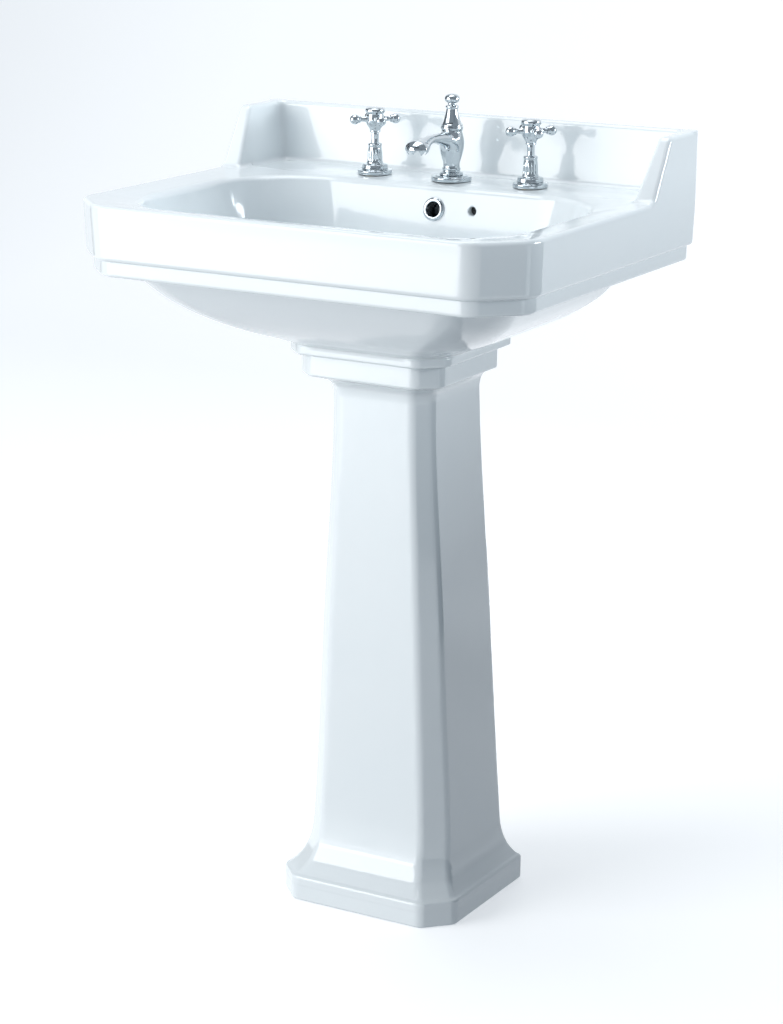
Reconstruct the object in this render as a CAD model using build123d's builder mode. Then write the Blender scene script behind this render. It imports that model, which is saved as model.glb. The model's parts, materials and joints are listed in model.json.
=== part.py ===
from build123d import *
import math
import os

os.makedirs("parts", exist_ok=True)

# ---------------------------------------------------------------- driving dimensions (mm)
# Frame: X across, -Y front, +Y wall, Z up; origin on the floor under the middle of the basin.
BASIN_W = 560.0
BASIN_D = 450.0
PEDESTAL_H = 657.0
BASIN_H = 177.0
UPSTAND_H = 68.0
FRONT_CUT = 50.0
APRON_H = 61.0
APRON_DRAFT = 2.0
TIER_H = 18.0
TIER_INSET = 9.0
RIM_ROUND = 5.0
PLAN_ROUND = 9.0
DECK_DROP = 2.0
DECK_THICK = 16.0
PLINTH_H = 11.0
PLINTH_STEP = 11.0
CAP_W = 182.0
CAP_H = 26.0
BASE_W = 231.5
BASE_H = 30.0
PEDESTAL_WALL = 11.0
TAP_SPACING = 203.2
TAP_TO_WALL = 66.0
TAP_HOLE_R = 14.0
WASTE_TO_WALL = 190.0
WASTE_HOLE_R = 23.0
BOWL_FLOOR_H = 31.0
UNDER_RECESS = 3.0
FIXING_SPACING = 280.0
FIXING_DROP = 49.0
FIXING_HOLE_R = 6.5
OVERFLOW_DROP = 30.6
OVERFLOW_TO_WALL = 106.5
OVERFLOW_R = 10.5
CHAIN_HOLE_X = 49.0
CHAIN_HOLE_R = 5.0
HANDLE_ANGLE = 46.0
HANDLE_RISE = 63.5
LEVER_TILT = 7.0
LEVER_DROP = 66.0
LEVER_PIVOT = 28.0
TRAP_R = 31.0
TRAP_OUT_DROP = 143.0
RUN = 0.06
GAP = 0.3

HALF_W = BASIN_W / 2
FRONT = -BASIN_D / 2
WALL = BASIN_D / 2
PLINTH_Z = PEDESTAL_H + PLINTH_H
BASIN_UNDER_Z = PEDESTAL_H + UNDER_RECESS
BOWL_FLOOR_Z = PEDESTAL_H + BOWL_FLOOR_H
RIM_Z = PEDESTAL_H + BASIN_H
APRON_Z = RIM_Z - APRON_H
TIER_Z = APRON_Z - TIER_H
UPSTAND_Z = RIM_Z + UPSTAND_H
DECK_Z = RIM_Z - DECK_DROP
DECK_UNDER_Z = DECK_Z - DECK_THICK
FIXING_Z = RIM_Z - FIXING_DROP
OVERFLOW_Z = RIM_Z - OVERFLOW_DROP
OVERFLOW_Y = WALL - OVERFLOW_TO_WALL
HANDLE_Z = DECK_Z + HANDLE_RISE
LEVER_Z = BOWL_FLOOR_Z - LEVER_DROP
TRAP_OUT_Z = BOWL_FLOOR_Z - TRAP_OUT_DROP
CAP_Z = PEDESTAL_H - CAP_H
TAP_X = TAP_SPACING / 2
TAP_Y = WALL - TAP_TO_WALL
WASTE_Y = WALL - WASTE_TO_WALL
LEVER_PIVOT_Y = WASTE_Y + LEVER_PIVOT
CAP_FRONT = WASTE_Y - 81.0
CAP_BACK = WASTE_Y + 75.0
BASE_FRONT = WASTE_Y - 87.0
BASE_BACK = WASTE_Y + 111.0
LEFT = (-TAP_X, TAP_Y)
RIGHT = (TAP_X, TAP_Y)
CENTRE = (0.0, TAP_Y)
WASTE = (0.0, WASTE_Y)


def plan(z, half_w, front, back, cut, round_r=4.0, back_cut=None):
    """Level outline with its two front corners cut at 45 degrees, and its back ones if asked."""
    points = [(-half_w, front + cut), (-half_w + cut, front), (half_w - cut, front), (half_w, front + cut)]
    if back_cut is None:
        points += [(half_w, back), (-half_w, back)]
    else:
        cut_x, cut_y = back_cut
        points += [(half_w, back - cut_y), (half_w - cut_x, back)]
        points += [(-half_w + cut_x, back), (-half_w, back - cut_y)]
    with BuildSketch(Plane.XY.offset(z), mode=Mode.PRIVATE) as outline:
        with BuildLine():
            Polyline(*points, close=True)
        make_face()
        if round_r > 0:
            fillet(outline.vertices(), round_r)
    return outline.sketch


def profile(centre, base, points):
    """Half section of a turned piece, as (radius, height over the base level) points up its outside."""
    x, y = centre
    plane = Plane(origin=(x, y, base), x_dir=(1, 0, 0), z_dir=(0, -1, 0))
    with BuildSketch(plane, mode=Mode.PRIVATE) as half:
        with BuildLine():
            Polyline(*points)
            Polyline(points[-1], (0, points[-1][1]), (0, points[0][1]), points[0])
        make_face()
    return half.sketch


def upright(centre):
    """Vertical axis through a plan position."""
    return Axis((centre[0], centre[1], 0), (0, 0, 1))


def disc(centre, z, radius):
    """Level circle at a plan position and height."""
    with BuildSketch(Plane.XY.offset(z), mode=Mode.PRIVATE) as circle:
        with Locations(centre):
            Circle(radius)
    return circle.sketch


def hexagon(centre, z, across_flats, turn=0.0):
    """Level hexagon at a plan position and height, given its size across flats."""
    with BuildSketch(Plane.XY.offset(z), mode=Mode.PRIVATE) as nut:
        with Locations(centre):
            RegularPolygon(across_flats / 2, 6, major_radius=False, rotation=turn)
    return nut.sketch


def bar_end(x, z, y, radius):
    """Upright circle facing along Y."""
    plane = Plane(origin=(x, y, z), x_dir=(1, 0, 0), z_dir=(0, -1, 0))
    with BuildSketch(plane, mode=Mode.PRIVATE) as circle:
        Circle(radius)
    return circle.sketch


def cross_end(x, y, z, radius):
    """Upright circle facing along X."""
    plane = Plane(origin=(x, y, z), x_dir=(0, 1, 0), z_dir=(1, 0, 0))
    with BuildSketch(plane, mode=Mode.PRIVATE) as circle:
        Circle(radius)
    return circle.sketch


# ---------------------------------------------------------------- ceramic basin
# (height, half width, front, back, corner cut) of the bowl outside, from the foot up
BOWL_OUTSIDE = [
    (PLINTH_Z, 103.0, WASTE_Y - 93.0, WASTE_Y + 87.0, 28.0),
    (PLINTH_Z + 9.0, 121.0, WASTE_Y - 114.0, WASTE_Y + 89.0, 31.0),
    (PLINTH_Z + 22.0, HALF_W - 123.0, FRONT + 114.0, WASTE_Y + 92.0, 36.0),
    (PLINTH_Z + 40.0, HALF_W - 90.0, FRONT + 82.0, WASTE_Y + 96.0, 40.0),
    (PLINTH_Z + 58.0, HALF_W - 66.0, FRONT + 59.0, WASTE_Y + 99.0, 43.0),
    (TIER_Z + 2.0, HALF_W - 40.0, FRONT + 29.0, WASTE_Y + 102.0, 46.0),
]
# the same of the bowl inside, with its back corner cut
BOWL_INSIDE = [
    (BOWL_FLOOR_Z, 72.0, WASTE_Y - 69.0, WASTE_Y + 31.0, 20.0, (26.0, 18.0)),
    (BOWL_FLOOR_Z + 9.0, HALF_W - 150.0, FRONT + 143.0, WASTE_Y + 51.0, 30.0, (44.0, 34.0)),
    (BOWL_FLOOR_Z + 23.0, HALF_W - 111.0, FRONT + 104.0, OVERFLOW_Y - 19.5, 38.0, (54.0, 46.0)),
    (BOWL_FLOOR_Z + 44.0, HALF_W - 81.0, FRONT + 73.0, OVERFLOW_Y - 12.5, 42.0, (60.0, 54.0)),
    (TIER_Z + 10.0, HALF_W - 61.0, FRONT + 50.0, OVERFLOW_Y - 6.5, 46.0, (63.0, 60.0)),
    (OVERFLOW_Z, HALF_W - 52.0, FRONT + 42.0, OVERFLOW_Y, 48.0, (64.0, 62.0)),
    (RIM_Z - 5.0, HALF_W - 47.0, FRONT + 38.0, OVERFLOW_Y + 5.5, 48.0, (64.0, 62.0)),
]
DUCT = (30.0, OVERFLOW_Y + 6.5, OVERFLOW_Y + 14.5)
DUCT_TOP_Z = OVERFLOW_Z + 9.6
DUCT_FLOOR_Z = PEDESTAL_H + 12.0
WALL_LEAN = 11.5
lean = math.radians(WALL_LEAN)
overflow_plane = Plane(origin=(0, OVERFLOW_Y, OVERFLOW_Z), z_dir=(0, -math.cos(lean), math.sin(lean)))
DUCT_SHELL = 7.0
EDGE_H = 14.0
RETURN_FOOT = (27.0, 121.0)
RETURN_TOP = (15.0, 80.0)
PANEL_FOOT = 20.0
PANEL_TOP = 13.0
RECESS_HALF = HALF_W - 44.0
RECESS_D = 66.0
LEDGE_HALF = HALF_W - 30.0
LEDGE_D = 74.0
SEAT_R = 33.5
SEAT_DEPTH = 4.0

with BuildPart() as basin:
    straight_z = RIM_Z - EDGE_H
    loft([
        plan(APRON_Z, HALF_W - APRON_DRAFT, FRONT + APRON_DRAFT, WALL, FRONT_CUT, PLAN_ROUND),
        plan(straight_z, HALF_W, FRONT, WALL, FRONT_CUT, PLAN_ROUND),
    ], ruled=True)
    extrude(plan(straight_z, HALF_W, FRONT, WALL, FRONT_CUT, PLAN_ROUND), amount=RIM_Z - straight_z)
    fillet(basin.edges().group_by(Axis.Z)[-1], RIM_ROUND)
    extrude(
        plan(TIER_Z, HALF_W - TIER_INSET, FRONT + TIER_INSET, WALL, FRONT_CUT - 4, PLAN_ROUND),
        amount=APRON_Z - TIER_Z,
    )
    loft([plan(z, w, f, b, c, 14.0) for z, w, f, b, c in BOWL_OUTSIDE])
    extrude(
        plan(PEDESTAL_H, CAP_W / 2 + PLINTH_STEP, CAP_FRONT - PLINTH_STEP, CAP_BACK + PLINTH_STEP, 27.0),
        amount=PLINTH_Z - PEDESTAL_H,
    )
    # upstand: tapering back panel and two side returns with a leaning front edge
    for side in (-1, 1):
        foot_w, foot_d = RETURN_FOOT
        top_w, top_d = RETURN_TOP
        with BuildSketch(Plane.XY.offset(straight_z)) as return_foot:
            with Locations((side * (HALF_W - foot_w / 2), WALL - foot_d / 2)):
                Rectangle(foot_w, foot_d)
        with BuildSketch(Plane.XY.offset(UPSTAND_Z)) as return_top:
            with Locations((side * (HALF_W - 1.0 - top_w / 2), WALL - top_d / 2)):
                Rectangle(top_w, top_d)
        loft(ruled=True)
    with BuildSketch(Plane.YZ.offset(-HALF_W + 2.0)) as panel_section:
        with BuildLine():
            Polyline((WALL, straight_z), (WALL, UPSTAND_Z), (WALL - PANEL_TOP, UPSTAND_Z),
                     (WALL - PANEL_FOOT, straight_z), close=True)
        make_face()
    extrude(amount=BASIN_W - 4.0)
    # overflow duct boss behind the bowl
    with BuildSketch(Plane.XY.offset(PLINTH_Z - 8)) as duct_boss:
        duct_half, duct_front, duct_back = DUCT
        with Locations((0, (duct_front + duct_back + DUCT_SHELL) / 2 - 6)):
            Rectangle(2 * (duct_half + DUCT_SHELL), duct_back - duct_front + DUCT_SHELL + 12)
    extrude(amount=TIER_Z - PLINTH_Z + 10)
    # dished deck inside the rim, then the bowl
    loft([
        plan(RIM_Z - 5.0, HALF_W - 47.0, FRONT + 38.0, OVERFLOW_Y + 5.5, 48.0, 18.0, (64.0, 62.0)),
        plan(RIM_Z + 0.6, HALF_W - 9.0, FRONT + 12.0, OVERFLOW_Y + 49.5, 46.0, 18.0, (64.0, 62.0)),
    ], mode=Mode.SUBTRACT)
    loft([plan(z, w, f, b, c, 17.0, bc) for z, w, f, b, c, bc in BOWL_INSIDE], mode=Mode.SUBTRACT)
    # tap recess under the deck
    with BuildSketch(Plane.XY.offset(TIER_Z - 5)) as tap_recess:
        with Locations((0, TAP_Y + 15.0)):
            Rectangle(2 * RECESS_HALF, RECESS_D)
        fillet(tap_recess.vertices(), 12.0)
    extrude(amount=DECK_UNDER_Z - TIER_Z + 5, mode=Mode.SUBTRACT)
    # tap holes
    with BuildSketch(Plane.XY.offset(DECK_UNDER_Z - 5)) as tap_holes:
        with Locations(LEFT, CENTRE, RIGHT):
            Circle(TAP_HOLE_R)
    extrude(amount=30, mode=Mode.SUBTRACT)
    with BuildSketch(Plane.XY.offset(DECK_Z)) as tap_ledge:
        with Locations((0, TAP_Y + 9.0)):
            Rectangle(2 * LEDGE_HALF, LEDGE_D)
    extrude(amount=DECK_DROP + 1, mode=Mode.SUBTRACT)
    # flat underside inside the pedestal, waste hole and its seat
    with BuildSketch(Plane.XY.offset(PEDESTAL_H - 1)) as under_recess:
        with Locations((0, WASTE_Y - 1.0)):
            Rectangle(150.0, 116.0)
        fillet(under_recess.vertices(), 10.0)
    extrude(amount=BASIN_UNDER_Z - PEDESTAL_H + 1, mode=Mode.SUBTRACT)
    extrude(disc(WASTE, BASIN_UNDER_Z - 5, WASTE_HOLE_R), amount=50, mode=Mode.SUBTRACT)
    extrude(disc(WASTE, BOWL_FLOOR_Z - SEAT_DEPTH, SEAT_R), amount=20, mode=Mode.SUBTRACT)
    # overflow passage: hole, duct down the back, and a channel to the waste
    with BuildSketch(overflow_plane):
        Circle(OVERFLOW_R)
    extrude(amount=12, both=True, mode=Mode.SUBTRACT)
    with BuildSketch(Plane.XY.offset(DUCT_FLOOR_Z)) as duct_hole:
        with Locations((0, (duct_front + duct_back) / 2)):
            Rectangle(2 * duct_half, duct_back - duct_front)
    extrude(amount=DUCT_TOP_Z - DUCT_FLOOR_Z, mode=Mode.SUBTRACT)
    with BuildSketch(Plane.XY.offset(DUCT_FLOOR_Z)) as duct_foot:
        with Locations((0, (WASTE_Y + duct_back) / 2)):
            Rectangle(36.0, duct_back - WASTE_Y)
    extrude(amount=8.0, mode=Mode.SUBTRACT)
    # chain-stay hole and wall fixing holes
    extrude(
        bar_end(CHAIN_HOLE_X, OVERFLOW_Z + 1.6, OVERFLOW_Y + 24.5, CHAIN_HOLE_R),
        amount=40,
        mode=Mode.SUBTRACT,
    )
    for side in (-1, 1):
        extrude(
            bar_end(side * FIXING_SPACING / 2, FIXING_Z, WALL + 5, FIXING_HOLE_R),
            amount=40,
            mode=Mode.SUBTRACT,
        )
basin.part.label = "basin"
export_step(basin.part, "parts/basin.step")

# ---------------------------------------------------------------- ceramic pedestal
# (height, half width, front, back, corner cut) up the foot's cove, the shaft and the head's cove
FOOT = [
    (BASE_H, BASE_W / 2 - 2.8, BASE_FRONT + 2.0, BASE_BACK - 1.5, 29.5),
    (BASE_H + 6.0, BASE_W / 2 - 8.8, BASE_FRONT + 8.5, BASE_BACK - 4.5, 28.5),
    (BASE_H + 18.0, BASE_W / 2 - 16.8, BASE_FRONT + 19.0, BASE_BACK - 8.0, 27.0),
    (BASE_H + 40.0, BASE_W / 2 - 22.8, BASE_FRONT + 28.5, BASE_BACK - 11.2, 25.5),
    (BASE_H + 75.0, BASE_W / 2 - 24.8, BASE_FRONT + 33.0, BASE_BACK - 13.1, 24.6),
]
SHAFT_TOP = (CAP_Z - 26.0, CAP_W / 2 - 25.6, CAP_FRONT + 32.0, CAP_BACK + 5.8, 18.3)
HEAD = [
    SHAFT_TOP,
    (CAP_Z - 16.0, CAP_W / 2 - 24.0, CAP_FRONT + 30.0, CAP_BACK + 5.2, 18.6),
    (CAP_Z - 7.0, CAP_W / 2 - 17.5, CAP_FRONT + 22.0, CAP_BACK + 3.0, 19.8),
    (CAP_Z, CAP_W / 2 - 6.0, CAP_FRONT + 7.0, CAP_BACK + 1.0, 22.0),
]
LUG = (24.0, 22.0, 12.0)
LUG_Y = WASTE_Y + 77.0
LUG_X = BASE_W / 2 - 23.75
HOLLOW_KNEE_Z = BASE_H + 40.0
FLOOR_HOLE_R = 3.6


HOLLOW_FOOT = (HOLLOW_KNEE_Z, BASE_W / 2 - 33.75, BASE_FRONT + 39.5, BASE_BACK + 20.0, 22.5)
HOLLOW_NECK = (
    SHAFT_TOP[0] - 5.0,
    SHAFT_TOP[1] - PEDESTAL_WALL,
    SHAFT_TOP[2] + PEDESTAL_WALL,
    BASE_BACK + 20.0,
    15.0,
)

with BuildPart() as pedestal:
    extrude(plan(0, BASE_W / 2, BASE_FRONT, BASE_BACK, 30.5, 6.0), amount=BASE_H)
    fillet(pedestal.edges().group_by(Axis.Z)[-1], 2.5)
    loft([plan(z, w, f, b, c, 6.0) for z, w, f, b, c in FOOT])
    loft([plan(z, w, f, b, c, 6.0) for z, w, f, b, c in (FOOT[-1], SHAFT_TOP)], ruled=True)
    loft([plan(z, w, f, b, c, 6.0) for z, w, f, b, c in HEAD])
    extrude(plan(CAP_Z, CAP_W / 2, CAP_FRONT, CAP_BACK, 23.0, 5.0), amount=CAP_H)
    # hollow, open at the back, top and floor
    loft([
        plan(-1.0, BASE_W / 2 - 14, BASE_FRONT + 14, BASE_BACK + 20.0, 27.0, 5.0),
        plan(BASE_H + 4, BASE_W / 2 - 19.75, BASE_FRONT + 19, BASE_BACK + 20.0, 26.0, 5.0),
        plan(*HOLLOW_FOOT, 5.0),
    ], ruled=True, mode=Mode.SUBTRACT)
    loft([plan(*HOLLOW_FOOT, 5.0), plan(*HOLLOW_NECK, 5.0)], ruled=True, mode=Mode.SUBTRACT)
    loft([
        plan(*HOLLOW_NECK, 5.0),
        plan(PEDESTAL_H + 1, CAP_W / 2 - 16, CAP_FRONT + 16, BASE_BACK + 20.0, 19.0, 5.0),
    ], ruled=True, mode=Mode.SUBTRACT)
    # floor lugs inside the foot, each with a screw hole
    lug_w, lug_d, lug_h = LUG
    with BuildSketch(Plane.XY) as lugs:
        with Locations((-LUG_X, LUG_Y), (LUG_X, LUG_Y)):
            Rectangle(lug_w, lug_d)
    extrude(amount=lug_h)
    with BuildSketch(Plane.XY) as floor_holes:
        with Locations((-LUG_X + 1, LUG_Y), (LUG_X - 1, LUG_Y)):
            Circle(FLOOR_HOLE_R)
    extrude(amount=lug_h, mode=Mode.SUBTRACT)
pedestal.part.label = "pedestal"
export_step(pedestal.part, "parts/pedestal.step")

# ---------------------------------------------------------------- overflow ring
with BuildPart() as overflow_ring:
    with BuildSketch(overflow_plane):
        Circle(OVERFLOW_R - GAP)
    extrude(amount=-7.5)
    with BuildSketch(overflow_plane.offset(-0.2)):
        Circle(OVERFLOW_R - GAP)
    extrude(amount=0.7)
    with BuildSketch(overflow_plane.offset(0.4)):
        Circle(13.5)
    extrude(amount=2.0)
    with BuildSketch(overflow_plane.offset(2.0)):
        Circle(12.4)
    extrude(amount=1.2)
    with BuildSketch(overflow_plane.offset(-10)):
        Circle(8.75)
    extrude(amount=20, mode=Mode.SUBTRACT)
overflow_ring.part.label = "overflow_ring"
export_step(overflow_ring.part, "parts/overflow_ring.step")

# ---------------------------------------------------------------- the two valves
SHANK_R = 10.48
STEM_R = 4.4
BORE_R = 5.3
NECK_R = 6.7
VALVE_FLANGE_R = 20.0
SPOUT_FLANGE_R = 23.3
DECK_SHANK_R = 12.6
TAIL_DROP = 70.0
LINK_Z = DECK_Z - 40.0
LINK_R = 5.0
NUT_AF = 30.0
FLUTES = 10


def valve_body(side, centre):
    """Threaded brass body through the deck, with a side branch for the link tube."""
    with BuildPart(mode=Mode.PRIVATE) as body:
        revolve(profile(centre, DECK_Z, [
            (SHANK_R, -TAIL_DROP), (SHANK_R, -50.0), (14.0, -48.5), (14.0, -32.0), (DECK_SHANK_R, -31.0),
            (DECK_SHANK_R, 8.0), (NECK_R, 8.5), (NECK_R, 25.0),
        ]), axis=upright(centre))
        branch = Plane(origin=(centre[0], centre[1], LINK_Z), z_dir=(-side, 0, 0))
        with BuildSketch(branch):
            Circle(7.5)
        extrude(amount=22)
        with BuildSketch(branch):
            Circle(LINK_R + RUN)
        extrude(amount=30, mode=Mode.SUBTRACT)
        revolve(profile(centre, DECK_Z, [
            (6.5, -TAIL_DROP - 1), (6.5, -32.0), (BORE_R, -31.0), (BORE_R, 38.0),
        ]), axis=upright(centre), mode=Mode.SUBTRACT)
    return body.part


def valve_bonnet(centre):
    """Fluted bell between the deck flange and the stem."""
    with BuildPart(mode=Mode.PRIVATE) as bell:
        revolve(profile(centre, DECK_Z, [
            (15.4, 6.3), (15.4, 7.6), (14.8, 8.8), (14.8, 11.2), (10.2, 12.0), (8.8, 13.4), (8.5, 20.0),
            (8.1, 28.0), (7.5, 31.0), (7.5, 32.5), (8.2, 33.2), (8.2, 35.0), (6.4, 36.0),
        ]), axis=upright(centre))
        with BuildSketch(Plane.XY.offset(DECK_Z + 14.0), mode=Mode.PRIVATE) as flutes:
            with Locations(centre):
                with PolarLocations(9.4, FLUTES):
                    Circle(1.4)
        extrude(flutes.sketch, amount=13.0, mode=Mode.SUBTRACT)
        revolve(profile(centre, DECK_Z, [
            (DECK_SHANK_R + RUN, 6), (DECK_SHANK_R + RUN, 8.4), (NECK_R + RUN, 8.9), (NECK_R + RUN, 25.4),
            (STEM_R + RUN, 25.8), (STEM_R + RUN, 38.0),
        ]), axis=upright(centre), mode=Mode.SUBTRACT)
    return bell.part


def deck_flange(centre, outer_r, bore_r):
    """Stepped round cover on the deck under a tap."""
    with BuildPart(mode=Mode.PRIVATE) as cover:
        revolve(profile(centre, DECK_Z, [
            (outer_r - 0.8, 0.0), (outer_r, 0.8), (outer_r, 2.6),
            (outer_r - 1.2, 3.8), (outer_r - 3.6, 4.2), (outer_r - 4.2, 5.4),
            (outer_r - 5.2, 6.2),
        ]), axis=upright(centre))
        extrude(disc(centre, DECK_Z - 1, bore_r), amount=12, mode=Mode.SUBTRACT)
    return cover.part


def valve_stem(centre):
    """Spindle from the valve's disc up into the handle hub."""
    with BuildPart(mode=Mode.PRIVATE) as stem:
        revolve(profile(centre, DECK_Z, [
            (4.8, -20.0), (4.8, 18.0), (STEM_R, 19.0), (STEM_R, 46.0), (4.0, 46.5), (4.0, 66.0),
        ]), axis=upright(centre))
        extrude(disc(centre, DECK_Z + 56.0, 2.05), amount=12.0, mode=Mode.SUBTRACT)
    return stem.part


def cross_handle(centre):
    """Turned hub with a foot cone and four ball-ended arms."""
    x, y = centre
    with BuildPart(mode=Mode.PRIVATE) as handle:
        revolve(profile(centre, DECK_Z, [
            (5.6, 48.0), (6.4, 49.2), (5.8, 50.6), (7.0, 52.6), (9.2, 55.4), (10.4, 58.5),
            (10.6, 66.5), (9.8, 70.0), (11.4, 71.2), (11.6, 73.0), (11.6, 75.0), (10.6, 76.2),
        ]), axis=upright(centre))
        for turn in range(4):
            angle = math.radians(HANDLE_ANGLE + 90 * turn)
            out = Vector(math.cos(angle), math.sin(angle), 0)
            across = Vector(-math.sin(angle), math.cos(angle), 0)
            side_plane = Plane(origin=(x, y, HANDLE_Z), x_dir=out, z_dir=across)
            with BuildSketch(side_plane, mode=Mode.PRIVATE) as arm:
                with BuildLine():
                    Polyline((6, 0), (6, 4.2), (11.5, 4.0), (12.6, 3.2), (16.2, 2.7), (18.2, 2.9),
                             (18.8, 4.3), (20.2, 4.3))
                    Spline((20.2, 4.3), (21.2, 5.2), (24.7, 5.8), (27.8, 5.0), (29.8, 2.4), (30.4, 0.0))
                    Line((30.4, 0), (6, 0))
                make_face()
            revolve(arm.sketch, axis=Axis((x, y, HANDLE_Z), (out.X, out.Y, 0)))
        extrude(disc(centre, DECK_Z + 38.0, 4.0 + 0.005), amount=28.0, mode=Mode.SUBTRACT)
        extrude(disc(centre, DECK_Z + 75.2, 8.6), amount=3.0, mode=Mode.SUBTRACT)
        extrude(disc(centre, DECK_Z + 65.0, 2.1), amount=9.0, mode=Mode.SUBTRACT)
        extrude(disc(centre, DECK_Z + 73.0, 3.8), amount=4.0, mode=Mode.SUBTRACT)
    return handle.part


def index_disc(centre):
    """Plain domed cap over the handle screw."""
    with BuildPart(mode=Mode.PRIVATE) as cap:
        revolve(profile(centre, DECK_Z, [(8.55, 75.25), (8.55, 76.3), (6.0, 77.0), (3.0, 77.3)]),
                axis=upright(centre))
    return cap.part


def handle_screw(centre):
    """Screw holding the handle down on its stem."""
    with BuildPart(mode=Mode.PRIVATE) as screw:
        revolve(profile(centre, DECK_Z, [(2.0, 57.0), (2.0, 73.1), (3.6, 73.2), (3.6, 74.4), (2.4, 75.1)]),
                axis=upright(centre))
    return screw.part


def ring_nut(centre, z, height, across_flats, bore_r, turn=0.0):
    """Hexagon nut on a vertical shank."""
    with BuildPart(mode=Mode.PRIVATE) as nut:
        extrude(hexagon(centre, z, across_flats, turn), amount=height)
        chamfer(nut.edges().group_by(Axis.Z)[0], 0.8)
        extrude(disc(centre, z - 1, bore_r), amount=height + 2, mode=Mode.SUBTRACT)
    return nut.part


def washer(centre, z, height, outer_r, bore_r):
    """Flat washer on a vertical shank."""
    with BuildPart(mode=Mode.PRIVATE) as ring:
        extrude(disc(centre, z, outer_r), amount=height)
        extrude(disc(centre, z - 1, bore_r), amount=height + 2, mode=Mode.SUBTRACT)
    return ring.part


def side_nut(x_inner, x_outer, across_flats, bore_r):
    """Compression nut round a tube that runs along X at the link height."""
    with BuildPart(mode=Mode.PRIVATE) as nut:
        plane = Plane(origin=(x_inner, TAP_Y, LINK_Z), x_dir=(0, 1, 0), z_dir=(1, 0, 0))
        with BuildSketch(plane):
            RegularPolygon(across_flats / 2, 6, major_radius=False)
        extrude(amount=x_outer - x_inner)
        extrude(cross_end(x_inner - 1, TAP_Y, LINK_Z, bore_r), amount=x_outer - x_inner + 2,
                mode=Mode.SUBTRACT)
    return nut.part


VALVES = (("hot", -1, LEFT), ("cold", 1, RIGHT))
for name, side, centre in VALVES:
    pieces = {
        "valve_body": valve_body(side, centre),
        "flange": deck_flange(centre, VALVE_FLANGE_R, DECK_SHANK_R + RUN),
        "bonnet": valve_bonnet(centre),
        "stem": valve_stem(centre),
        "handle": cross_handle(centre),
        "index_disc": index_disc(centre),
        "handle_screw": handle_screw(centre),
        "deck_seal": washer(centre, DECK_UNDER_Z - 2.5, 2.5, 17.2, DECK_SHANK_R + RUN),
        "backnut": ring_nut(centre, DECK_UNDER_Z - 11.0, 8.2, NUT_AF, DECK_SHANK_R + RUN),
    }
    for piece, shape in pieces.items():
        shape.label = f"{name}_{piece}"
        export_step(shape, f"parts/{name}_{piece}.step")

# ---------------------------------------------------------------- spout and its connections
ROD_R = 2.5
SHANK_DROP = 34.5
WATERWAY = (6.4, 2.8)
TEE_BRANCH = 26.0
# (reach, half width, half height, rise over the deck) of the spout arm, from the pillar to the mouth
ARM = [
    (-4.0, 9.5, 9.0, 44.0),
    (13.0, 9.4, 8.6, 47.5),
    (27.0, 8.0, 7.0, 50.0),
    (48.0, 6.8, 4.6, 52.0),
    (61.0, 8.2, 5.0, 50.6),
    (73.0, 11.4, 7.0, 47.6),
    (83.0, 12.8, 7.8, 45.4),
    (91.0, 11.0, 6.8, 44.0),
]
MOUTH_REACH = 81.0
ARM_WALL = 1.8


def arm_section(reach, half_w, half_h, rise):
    """Upright oval across the spout arm."""
    plane = Plane(origin=(0, TAP_Y - reach, DECK_Z + rise), x_dir=(1, 0, 0), z_dir=(0, -1, 0))
    with BuildSketch(plane, mode=Mode.PRIVATE) as oval:
        Ellipse(half_w, half_h)
    return oval.sketch


spout_flange = deck_flange(CENTRE, SPOUT_FLANGE_R, SHANK_R + RUN)
spout_flange.label = "spout_flange"
export_step(spout_flange, "parts/spout_flange.step")

with BuildPart() as spout:
    revolve(profile(CENTRE, DECK_Z, [
        (SHANK_R, -SHANK_DROP), (SHANK_R, 6.4), (13.4, 6.5), (13.8, 7.6),
        (13.0, 9.0), (10.4, 10.0), (9.8, 11.5), (10.6, 12.6),
        (10.6, 14.0), (9.4, 15.2), (9.4, 18.0), (10.4, 23.0), (12.2, 29.0),
        (13.7, 36.0), (14.2, 43.0), (13.6, 49.0), (12.2, 54.0), (11.6, 56.0), (12.2, 57.2),
        (12.2, 58.0),
    ]), axis=upright(CENTRE))
    loft([arm_section(*level) for level in ARM])
    # hollow head that opens downward, with a scalloped lip
    loft([arm_section(reach, w - ARM_WALL, h - ARM_WALL, rise) for reach, w, h, rise in ARM[2:-1]],
         mode=Mode.SUBTRACT)
    with BuildSketch(Plane.XY.offset(DECK_Z + 30.0)) as mouth:
        with Locations((0, TAP_Y - MOUTH_REACH)):
            Ellipse(10.4, 7.6)
    extrude(amount=14.0, mode=Mode.SUBTRACT)
    for lip_x in (-8.4, 0.0, 8.4):
        lip = bar_end(lip_x, DECK_Z + 35.5, TAP_Y - MOUTH_REACH + 20.0, 3.9)
        extrude(lip, amount=40.0, mode=Mode.SUBTRACT)
    # waterway up the pillar and out to the arm, and the lift rod's guide
    way_offset, way_r = WATERWAY
    extrude(disc((0, TAP_Y - way_offset), DECK_Z - SHANK_DROP - 1, way_r), amount=84.0, mode=Mode.SUBTRACT)
    extrude(bar_end(0, DECK_Z + 49.5, TAP_Y - way_offset, way_r), amount=22.0, mode=Mode.SUBTRACT)
    extrude(disc(CENTRE, DECK_Z - SHANK_DROP - 1, ROD_R + RUN), amount=100.0, mode=Mode.SUBTRACT)
spout.part.label = "spout"
export_step(spout.part, "parts/spout.step")

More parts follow.
